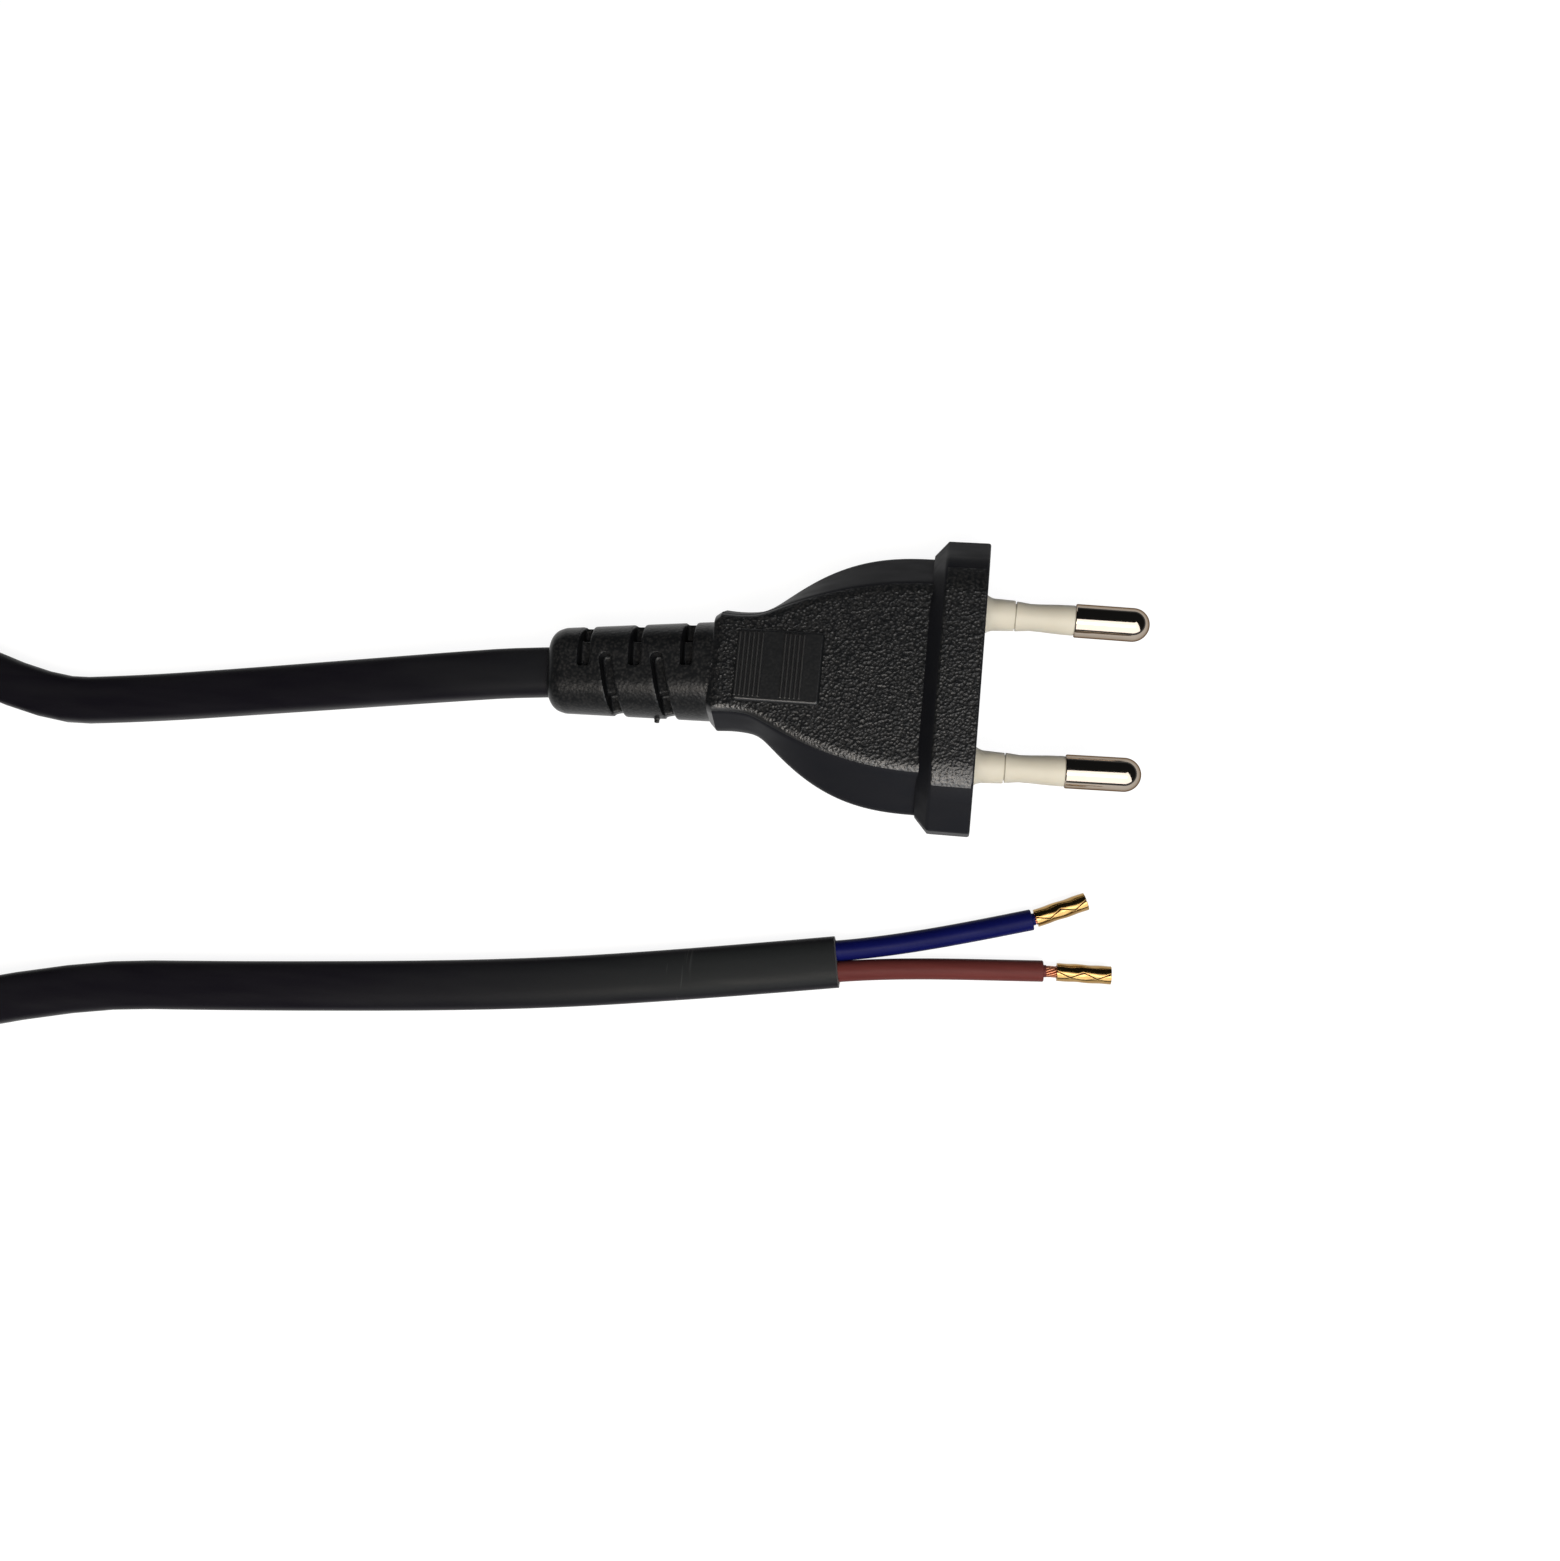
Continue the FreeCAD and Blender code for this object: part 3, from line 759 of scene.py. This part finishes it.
# Painted highlight: the rib tops are painted paler.
painted_rib_highlight = spread(nodes, links, height, 0, 0.85, *rib_climb)
painted_rib_highlight = calculate(nodes, links, "MULTIPLY", painted_rib_highlight, spread(nodes, links, off_panel, 1, 0, 0, 1))
place = nodes.new("ShaderNodeTexCoord")
cells = nodes.new("ShaderNodeTexVoronoi")
cells.feature = "SMOOTH_F1"
cells.inputs["Scale"].default_value = grain_cells
cells.inputs["Smoothness"].default_value = 0.35
links.new(place.outputs["Object"], cells.inputs["Vector"])
wander = noise(nodes, links, (3300, 3300, 3300), detail=2.0)
leather = calculate(nodes, links, "ADD", cells.outputs["Distance"], wander)
raise_bump(links, bump, calculate(nodes, links, "MULTIPLY", leather, grained), 1.0, grain_depth)
# Painted highlight: the grain's crests and the rib tops are painted paler in place of glints.
painted_crest_glints = spread(nodes, links, leather, 1, 0, 0.55, 1.15)
painted_crest_glints = calculate(nodes, links, "MAXIMUM", calculate(nodes, links, "MULTIPLY", painted_crest_glints, glint_paint_share), painted_rib_highlight)
colour_by(nodes, links, shader, painted_crest_glints, (0.0055, 0.006, 0.0066), (0.0225, 0.0222, 0.0218))
links.new(spread(nodes, links, grained, 0.38, 0.3, 0, 1), shader.inputs["Roughness"])
rubbed = spread(nodes, links, unsigned(nodes, links, facing["Y"]), 0, 0.34, 0.1, 0.4)
rubbed = calculate(nodes, links, "MULTIPLY", rubbed, off_relief)
gloss = calculate(nodes, links, "ADD", spread(nodes, links, relief_share, 0.34, 0.24, 0, 1), rubbed)
links.new(gloss, shader.inputs["Specular IOR Level"])
stand_for(moulding, black_pvc, "black_moulding", "plug_body")

flange_flat_level = 0.885
body_slant_share = 2 / 3

smooth_black = (0.0105, 0.011, 0.013)
smooth_pvc, nodes, links, shader, bump = new_finish("black_smooth_pvc", smooth_black, 0.5, specular=0.07)
sheen = noise(nodes, links, (160, 500, 500), detail=4.0)
colour_by(nodes, links, shader, sheen, (0.0078, 0.0086, 0.0115), (0.0122, 0.0122, 0.0138))
links.new(spread(nodes, links, sheen, 0.42, 0.58), shader.inputs["Roughness"])
raise_bump(links, bump, noise(nodes, links, (1200, 1200, 1200)), 0.06, 0.04 * MM)
moulding.data.materials.append(smooth_pvc)


def slants(face):
    """True for a face of the smooth slanted sides, past the eased edges of the grained flats."""
    x = face.center.x
    on_panel = x < -flange_back and abs(face.center.z) > body_top + touch
    if x < neck_chamfer - body_length or on_panel:
        return False
    if x > -flange_back:
        return abs(face.normal.z) < flange_flat_level
    width, flat = body_outline(x)
    slant = math.atan2(body_top, width - flat)
    return abs(face.normal.z) < math.cos(slant * body_slant_share)


for face in moulding.data.polygons:
    if slants(face):
        face.material_index = 1

# Cord: one length of flat two-core lead in black PVC, from inside the moulding to the stripped end.
# It lies on its broad side in the open, and stands on its edge in the two layers of the tied coil.
cord_width = 6.2 * MM
cord_thickness = 3.9 * MM
cord_squareness = 3.0
cord_around = 40
floor_height = -6.85 * MM
coil_centre = Vector((-185.0 * MM, -28.0 * MM, 0))
coil_outer_turn = 39.78 * MM
coil_inner_turn = 28.22 * MM
coil_leave = math.radians(69.0)
coil_points_per_turn = 24
coil_turns = 6
coil_lift = 0.75 * MM
lower_layer = floor_height + coil_lift + cord_width / 2
upper_layer = lower_layer + cord_width
layer_turns = (coil_turns - 2 * coil_leave / math.tau) / 2
climb_turns = 0.36
twist_length = 48 * MM
cut_rim = 0.12 * MM
cut_lip = 0.35 * MM
cut_depth = 0.1 * MM
cut_face_from = -15.2 * MM

route = []
for spot in (
    (-29.0, 0.19, 0),
    (-54.0, -1.35, 0),
    (-66.0, -2.75, -0.7),
    (-80.0, -4.2, -2.6),
    (-95.0, -5.8, -4.4),
    (-110.0, -7.7, -4.9),
    (-126.0, -9.2, -4.9),
):
    route.append(Vector(spot) * MM)
coil_start = len(route)
steps = round(2 * layer_turns * coil_points_per_turn)
for i in range(steps + 1):
    turned = 2 * layer_turns * i / steps
    angle = coil_leave + turned * math.tau
    inward = 1 - abs(turned - layer_turns) / layer_turns
    radius = coil_outer_turn + (coil_inner_turn - coil_outer_turn) * inward
    climb = min(max((turned - layer_turns) / climb_turns + 0.5, 0), 1)
    height = lower_layer + (upper_layer - lower_layer) * climb * climb * (3 - 2 * climb)
    rise = Vector((0, 0, height))
    route.append(coil_centre + Vector((math.cos(angle), math.sin(angle), 0)) * radius + rise)
coil_end = len(route) - 1
for spot in (
    (-117.0, -46.0, -4.9),
    (-88.0, -43.6, -4.9),
    (-56.0, -40.4, -4.9),
    (-34.0, -37.1, -4.9),
    (-14.6, -33.6, -4.9),
):
    route.append(Vector(spot) * MM)

leave_edit()
line = bpy.data.curves.new("cord_line", "CURVE")
line.dimensions = "3D"
line.resolution_u = 6
spline = line.splines.new("NURBS")
spline.points.add(len(route) - 1)
for point, spot in zip(spline.points, route):
    point.co = (*spot, 1)
spline.order_u = 3
spline.use_endpoint_u = True
guide = bpy.data.objects.new("cord_line", line)
bpy.context.scene.collection.objects.link(guide)
bpy.context.view_layer.update()
read = bpy.data.meshes.new_from_object(guide)
cord_path = [v.co.copy() for v in read.vertices]
bpy.data.objects.remove(guide)
bpy.data.meshes.remove(read)
bpy.data.curves.remove(line)


def stand(spot, ahead, roll=0.0, size=1.0):
    """Frame for a section that is swept along a line: its own X lies across, its Y up and its Z ahead."""
    side = ahead.cross(Vector((0, 0, 1))).normalized()
    rise = side.cross(ahead).normalized()
    across = side * math.cos(roll) + rise * math.sin(roll)
    up = rise * math.cos(roll) - side * math.sin(roll)
    turn = Matrix((across * size, up * size, ahead.normalized())).transposed()
    return Matrix.Translation(spot) @ turn.to_4x4()


def sweep(name, section, stands):
    """Extrudes a section from each stand to the next, and leaves the end face selected in edit mode."""
    first = [stands[0] @ Vector((u, v, 0)) for u, v in section]
    piece = new_piece(name, first, (), [tuple(range(len(section)))])
    bpy.ops.object.mode_set(mode="EDIT")
    bpy.ops.mesh.select_all(action="SELECT")
    for before, after in zip(stands, stands[1:]):
        bpy.ops.mesh.extrude_region_move()
        carry = after @ before.inverted()
        mesh = bmesh.from_edit_mesh(piece.data)
        for corner in mesh.verts:
            if corner.select:
                corner.co = carry @ corner.co
        bmesh.update_edit_mesh(piece.data)
    return piece


section = []
for i in range(cord_around):
    angle = math.tau * i / cord_around
    u = math.copysign(abs(math.cos(angle)) ** (2 / cord_squareness), math.cos(angle))
    v = math.copysign(abs(math.sin(angle)) ** (2 / cord_squareness), math.sin(angle))
    section.append((u * cord_width / 2, v * cord_thickness / 2))

distance = [0.0]
for before, after in zip(cord_path, cord_path[1:]):
    distance.append(distance[-1] + (after - before).length)
coil_entry = min(range(len(cord_path)), key=lambda i: (cord_path[i] - route[coil_start]).length)
coil_exit = min(range(len(cord_path)), key=lambda i: (cord_path[i] - route[coil_end]).length)
stands = []
for i, spot in enumerate(cord_path):
    ahead = cord_path[min(i + 1, len(cord_path) - 1)] - cord_path[max(i - 1, 0)]
    into = (distance[i] - distance[coil_entry]) / twist_length + 1
    out = (distance[coil_exit] - distance[i]) / twist_length + 1
    share = min(max(min(into, out), 0), 1)
    stands.append(stand(spot, ahead, -math.pi / 2 * share * share * (3 - 2 * share)))
cord = sweep("flat_black_cord", section, stands)
bpy.ops.mesh.inset(thickness=cut_rim, depth=0)
bpy.ops.mesh.inset(thickness=cut_lip, depth=-cut_depth)
bpy.ops.object.mode_set(mode="OBJECT")
tidy_mesh()
bpy.ops.object.shade_smooth_by_angle(angle=math.radians(40))

scuff_rear = (-36.2 * MM, -35.2 * MM)
scuff_front = (-33.2 * MM, -31.8 * MM)
far_end_side = (-32.0 * MM, -30.0 * MM)
painted_light_run = (-80.0 * MM, -30.0 * MM)

# The sheath is painted paler on its upward broad side towards the stripped end, a painted pool of light,
# with one faint scuff across it there.
sheath_black = (0.0075, 0.0068, 0.009)
sheath, nodes, links, shader, bump = new_finish("black_sheath_pvc", sheath_black, 0.42, specular=0.08)
facing = split_axes(nodes, links, "ShaderNodeNewGeometry", "Normal")
spot = split_axes(nodes, links, "ShaderNodeTexCoord", "Object")
streak = noise(nodes, links, (70, 500, 500), detail=4.0)
streaked = spread(nodes, links, streak, 0, 1)
tone = blend(nodes, links, streaked, (0.0068, 0.006, 0.0088), (0.0098, 0.0092, 0.0115))
# Painted light: the upward broad side is painted paler towards the stripped end.
broad_side = spread(nodes, links, facing["Z"], 0, 1, 0.55, 0.97)
painted_light = spread(nodes, links, spot["X"], 0, 1, *painted_light_run)
painted_light = calculate(nodes, links, "MULTIPLY", painted_light, broad_side)
tone = blend(nodes, links, painted_light, tone, (0.0135, 0.0148, 0.0152))
scuff = spread(nodes, links, noise(nodes, links, (1500, 120, 120), detail=2.0), 0, 1, 0.56, 0.68)
for limit in (
    spread(nodes, links, spot["X"], 0, 1, *scuff_rear),
    spread(nodes, links, spot["X"], 1, 0, *scuff_front),
    spread(nodes, links, spot["Y"], 1, 0, *far_end_side),
):
    scuff = calculate(nodes, links, "MULTIPLY", scuff, limit)
colour_by(nodes, links, shader, scuff, tone, (0.07, 0.07, 0.07))
links.new(spread(nodes, links, streak, 0.34, 0.48), shader.inputs["Roughness"])
raise_bump(links, bump, noise(nodes, links, (300, 1800, 1800)), 0.1, 0.04 * MM)
stand_for(cord, sheath, "black_sheath", "cord_tail", "cord_coil", "cord_return")

cut_face, nodes, links, shader, bump = new_finish("cut_sheath", (0.09, 0.088, 0.085), 0.7, specular=0.2)
torn = noise(nodes, links, (2200, 2200, 2200), detail=4.0)
colour_by(nodes, links, shader, torn, (0.03, 0.03, 0.03), (0.16, 0.155, 0.15))
raise_bump(links, bump, torn, 0.4, 0.1 * MM)
cord.data.materials.append(cut_face)
for face in cord.data.polygons:
    if face.center.x > cut_face_from and face.normal.x > 0.8:
        face.material_index = 1

# Tie: flat black plastic strip with a wire in it, taken once round the coil and twisted shut.
# It holds the turns together on the side away from the plug, with its twisted ends inside the coil.
tie_centre = Vector((-219.0, -28.0, 0.1)) * MM
tie_inner_width = 16.464 * MM
tie_inner_height = 12.9 * MM
tie_width = 5.0 * MM
tie_thickness = 0.5 * MM
tie_corner = 2.0 * MM
tie_wire_rise = 0.22 * MM
tie_wire_width = 1.4 * MM
tie_wire_steps = 8
twist_start = -210.52 * MM
twist_run = 9.0 * MM
twist_turns = 2.5
tail_lead = 0.6 * MM
tail_offset = 0.3 * MM
tail_half_width = 0.85 * MM
tail_half_thickness = 0.22 * MM
tail_steps = 40

tie_section = [(-tie_width / 2, -tie_thickness / 2), (tie_width / 2, -tie_thickness / 2)]
tie_section += [(tie_width / 2, tie_thickness / 2 - tie_wire_rise)]
for i in range(tie_wire_steps + 1):
    share = i / tie_wire_steps
    lift = tie_wire_rise * math.sin(math.pi * share) ** 2
    tie_section.append(((0.5 - share) * tie_wire_width, tie_thickness / 2 - tie_wire_rise + lift))
tie_section += [(-tie_width / 2, tie_thickness / 2 - tie_wire_rise)]
half_wide = tie_inner_width / 2 + tie_thickness / 2
half_high = tie_inner_height / 2 + tie_thickness / 2
tie_round = tie_corner + tie_thickness / 2
loop = []
for u, v, turn in ((1, 1, 0), (-1, 1, 90), (-1, -1, 180), (1, -1, 270)):
    loop += arc(u * (half_wide - tie_round), v * (half_high - tie_round), tie_round, turn, turn + 90, 8)
stands = []
for i in range(len(loop) + 1):
    before, here, after = (loop[(i + step) % len(loop)] for step in (-1, 0, 1))
    ahead = Vector((after[0] - before[0], 0, after[1] - before[1])).normalized()
    across = Vector((0, 1, 0))
    turn = Matrix((across, ahead.cross(across), ahead)).transposed()
    stands.append(Matrix.Translation(tie_centre + Vector((here[0], 0, here[1]))) @ turn.to_4x4())
tie = sweep("black_coil_tie", tie_section, stands)
mesh = bmesh.from_edit_mesh(tie.data)
for face in mesh.faces:
    face.select = len(face.verts) > 4
bmesh.update_edit_mesh(tie.data)
bpy.ops.mesh.delete(type="ONLY_FACE")
tidy_mesh()
corners = ((-1, -1), (1, -1), (1, 1), (-1, 1))
strip = [(u * tail_half_width, v * tail_half_thickness) for u, v in corners]
tails = []
for start in (0.0, math.pi):
    stands = []
    for i in range(tail_steps + 1):
        share = i / tail_steps
        angle = start + twist_turns * math.tau * share
        offset = Vector((0, math.cos(angle), math.sin(angle))) * tail_offset
        spot = Vector((twist_start - tail_lead + twist_run * share, tie_centre.y, tie_centre.z)) + offset
        stands.append(stand(spot, Vector((1, 0, 0)), angle))
    tails.append(sweep("tie_tail", strip, stands))
    tidy_mesh()
tie = join_pieces([tie, *tails])
bpy.ops.object.shade_smooth_by_angle(angle=math.radians(35))

tie_plastic, nodes, links, shader, bump = new_finish("black_tie_plastic", (0.012, 0.012, 0.012), 0.35)
rub = noise(nodes, links, (500, 500, 500), detail=4.0)
colour_by(nodes, links, shader, rub, (0.009, 0.009, 0.009), (0.018, 0.018, 0.019))
links.new(spread(nodes, links, rub, 0.28, 0.45), shader.inputs["Roughness"])
raise_bump(links, bump, rub, 0.15, 0.05 * MM)
stand_for(tie, tie_plastic, "black_tie", "coil_tie")

# Stripped cores: the blue and the brown core come out of the cut sheath and part from each other.
# Extruded PVC with a cleanly cut end, in which the copper sits in a round hole.
core_radius = 1.26 * MM
core_hole = 0.74 * MM
core_hole_depth = 0.35 * MM
core_hole_edge = 0.02 * MM
core_rim = 0.1 * MM
core_around = 32
core_way_out = Vector((0.9856, 0.169, 0))
core_ends = {
    "blue": (Vector((-14.8, -32.3, -4.9)) * MM, Vector((8.2, -26.4, -5.525)) * MM, math.radians(16.5)),
    "brown": (Vector((-14.4, -34.75, -4.9)) * MM, Vector((9.9, -32.35, -5.525)) * MM, math.radians(4.4)),
}
core_steps = 28


def ring(radius, count):
    """Round section."""
    return arc(0, 0, radius, 0, 360 - 360 / count, count - 1)


for name, (start, end, heading) in core_ends.items():
    leave = core_way_out * (end - start).length
    arrive = Vector((math.cos(heading), math.sin(heading), 0)) * (end - start).length
    stands = []
    for i in range(core_steps + 1):
        t = i / core_steps
        spot = (
            start * (2 * t**3 - 3 * t**2 + 1)
            + leave * (t**3 - 2 * t**2 + t)
            + end * (3 * t**2 - 2 * t**3)
            + arrive * (t**3 - t**2)
        )
        slope = (
            (end - start) * (6 * t - 6 * t**2)
            + leave * (3 * t**2 - 4 * t + 1)
            + arrive * (3 * t**2 - 2 * t)
        )
        stands.append(stand(spot, slope))
    stands[-1] = stand(end - arrive.normalized() * core_rim, arrive)
    stands.append(stand(end, arrive, 0, 1 - core_rim / core_radius))
    core = sweep(name + "_core", ring(core_radius, core_around), stands)
    bpy.ops.mesh.inset(thickness=core_radius - core_rim - core_hole)
    bpy.ops.mesh.inset(thickness=core_hole_edge, depth=-core_hole_depth)
    bpy.ops.object.mode_set(mode="OBJECT")
    tidy_mesh()
    bpy.ops.object.shade_smooth_by_angle(angle=math.radians(40))
    stand_for(core, core_finishes[name], name + "_core", name + "_core_end")

# Strands: fine bare copper wires, bunched with a slow twist, from inside the core's end through its band.
# Each bunch is one wire with a ring of five round it, and a ring of eleven round those.
wire_radius = 0.145 * MM
wire_rings = ((11, 0.54 * MM, 0.0), (5, 0.27 * MM, 0.4), (1, 0.0, 0.0))
wire_turns_per_mm = 0.11
wire_steps = 18
wire_around = 10
band_length = 6.3 * MM
band_starts = {
    "blue": (Vector((8.611, -26.217, -5.525)) * MM, math.radians(24)),
    "brown": (Vector((11.449, -32.304, -5.525)) * MM, math.radians(1.7)),
}
for name, (band_start, heading) in band_starts.items():
    ahead = Vector((math.cos(heading), math.sin(heading), 0))
    start = core_ends[name][1] - ahead * core_hole_depth
    run = (band_start - start).length + band_length
    wires = []
    for count, reach, offset in wire_rings:
        for i in range(count):
            stands = []
            for step in range(wire_steps + 1):
                along = run * step / wire_steps
                angle = offset + math.tau * (i / count + wire_turns_per_mm * along / MM)
                aside = Matrix.Translation((reach * math.cos(angle), reach * math.sin(angle), 0))
                stands.append(stand(start + ahead * along, ahead) @ aside)
            wires.append(sweep("wire", ring(wire_radius, wire_around), stands))
            tidy_mesh()
    strands = join_pieces(wires)
    strands.name = name + "_copper_strands"
    bpy.ops.object.shade_smooth_by_angle(angle=math.radians(50))
    stand_for(strands, copper, "copper_strands", name + "_strands")

# Crimp bands: brass strip rolled round the bared strands until its zigzag edges meet.
# Each lies with its seam on the upper side, and the press has left it a little uneven.
band_radius = 1.1 * MM
band_wall = 0.22 * MM
band_gap = 0.14 * MM
band_tooth = 3.1 * MM
band_tooth_reach = 0.75 * MM
band_ripple = 0.03 * MM
band_ripples_round = 3
band_ripple_turn = 2.1 / MM
band_edge = 0.03 * MM
band_seam_turn = math.radians(75)

brass, nodes, links, shader, bump = new_finish("rolled_brass", (0.5, 0.33, 0.13), 0.16, metallic=1.0)
tarnish = noise(nodes, links, (420, 420, 420), detail=4.0)
colour_by(nodes, links, shader, tarnish, (0.52, 0.34, 0.125), (0.17, 0.09, 0.03))
links.new(spread(nodes, links, tarnish, 0.1, 0.24), shader.inputs["Roughness"])
raise_bump(links, bump, noise(nodes, links, (900, 900, 900), detail=2.0), 0.12, 0.04 * MM)

for name, (band_start, heading) in band_starts.items():
    leave_edit()
    bpy.ops.mesh.primitive_grid_add(x_subdivisions=63, y_subdivisions=64, size=1)
    band = bpy.context.object
    band.name = name + "_brass_band"
    place = stand(band_start, Vector((math.cos(heading), math.sin(heading), 0)))
    for corner in band.data.vertices:
        along = (corner.co.x + 0.5) * band_length
        tooth = abs(((along / band_tooth) % 1) * 2 - 1) - 0.5
        seam = band_seam_turn + band_tooth_reach * tooth / band_radius
        angle = seam + math.pi + corner.co.y * (math.tau - band_gap / band_radius)
        ripple = math.sin(band_ripples_round * angle + band_ripple_turn * along)
        ripple *= band_ripple * math.sin(math.pi * along / band_length)
        reach = band_radius - band_ripple + ripple
        corner.co = place @ Vector((reach * math.cos(angle), reach * math.sin(angle), along))
    tidy_mesh()
    apply_modifier(band, "SOLIDIFY", thickness=band_wall, offset=-1)
    sharp = math.radians(50)
    apply_modifier(band, "BEVEL", width=band_edge, segments=2, limit_method="ANGLE", angle_limit=sharp)
    bpy.ops.object.shade_smooth_by_angle(angle=math.radians(35))
    stand_for(band, brass, "brass_band", name + "_crimp_band")

# Camera: set by the plug's corners and pins in the photograph, close above the plug and a little wide.
film_width = 36.0
focal_pixels = 1327.9
picture_pixels = 1560
camera_spot = (-1.14 * MM, -36.85 * MM, 156.26 * MM)
camera = bpy.data.cameras.new("photo_camera")
camera.sensor_fit = "HORIZONTAL"
camera.sensor_width = film_width
camera.lens = film_width * focal_pixels / picture_pixels
camera.clip_start = 0.005
camera.clip_end = 10.0
viewpoint = bpy.data.objects.new("photo_camera", camera)
bpy.context.scene.collection.objects.link(viewpoint)
looking = Vector((-0.13659, 0.15061, -0.97911)).normalized()
upward = Vector((-0.07623, 0.98385, 0.16197))
right = looking.cross(upward).normalized()
upward = right.cross(looking)
turn = Matrix((right, upward, -looking)).transposed()
viewpoint.matrix_world = Matrix.Translation(camera_spot) @ turn.to_4x4()
bpy.context.scene.camera = viewpoint

# Studio: a plain white floor, one large soft lamp on the near side that reaches over the table's middle,
# and a warm strip above it. The room is dark overhead, and its walls are pale low down.
floor_glow = 0.9
floor_gap = 0.02 * MM
leave_edit()
bpy.ops.mesh.primitive_plane_add(size=4.0, location=(0, 0, floor_height - floor_gap))
table_top = bpy.context.object
table_top.name = "white_table"
white, nodes, links, shader, bump = new_finish("white_table", (0.2, 0.2, 0.2), 0.9, specular=0.0)
raise_bump(links, bump, noise(nodes, links, (300, 300, 300)), 0.02, 0.02 * MM)
rays = nodes.new("ShaderNodeLightPath")
seen = calculate(nodes, links, "MAXIMUM", rays.outputs["Is Camera Ray"], rays.outputs["Is Glossy Ray"])
seen = calculate(nodes, links, "MAXIMUM", seen, rays.outputs["Is Transmission Ray"])
shader.inputs["Emission Color"].default_value = (1, 1, 1, 1)
links.new(calculate(nodes, links, "MULTIPLY", seen, floor_glow), shader.inputs["Emission Strength"])
table_top.data.materials.append(white)

world = bpy.data.worlds.new("studio")
bpy.context.scene.world = world
world.use_nodes = True
nodes = world.node_tree.nodes
links = world.node_tree.links
view = split_axes(nodes, links, "ShaderNodeTexCoord", "Generated")
glow = spread(nodes, links, view["Z"], 0.22, 0.02, 0.03, 0.24)
links.new(glow, nodes["Background"].inputs["Strength"])
nodes["Background"].inputs["Color"].default_value = (0.82, 0.9, 1, 1)


def soft_lamp(name, spot, target, size, power, colour):
    """Rectangular lamp that points at a target and stays out of the picture."""
    lamp = bpy.data.lights.new(name, "AREA")
    lamp.shape = "RECTANGLE"
    lamp.size, lamp.size_y = size
    lamp.energy = power
    lamp.color = colour
    holder = bpy.data.objects.new(name, lamp)
    bpy.context.scene.collection.objects.link(holder)
    holder.location = spot
    holder.rotation_euler = (Vector(target) - Vector(spot)).to_track_quat("-Z", "Y").to_euler()
    holder.visible_camera = False


soft_lamp("window_lamp", (0.10, -0.21, 0.28), (0, -0.02, 0), (0.4, 0.505), 2.0, (0.97, 0.98, 1.0))
soft_lamp("strip_lamp", (0.0, -0.155, 0.31), (0, -0.02, 0), (0.26, 0.08), 0.45, (1.0, 0.88, 0.74))

bpy.context.scene.view_settings.view_transform = "Standard"
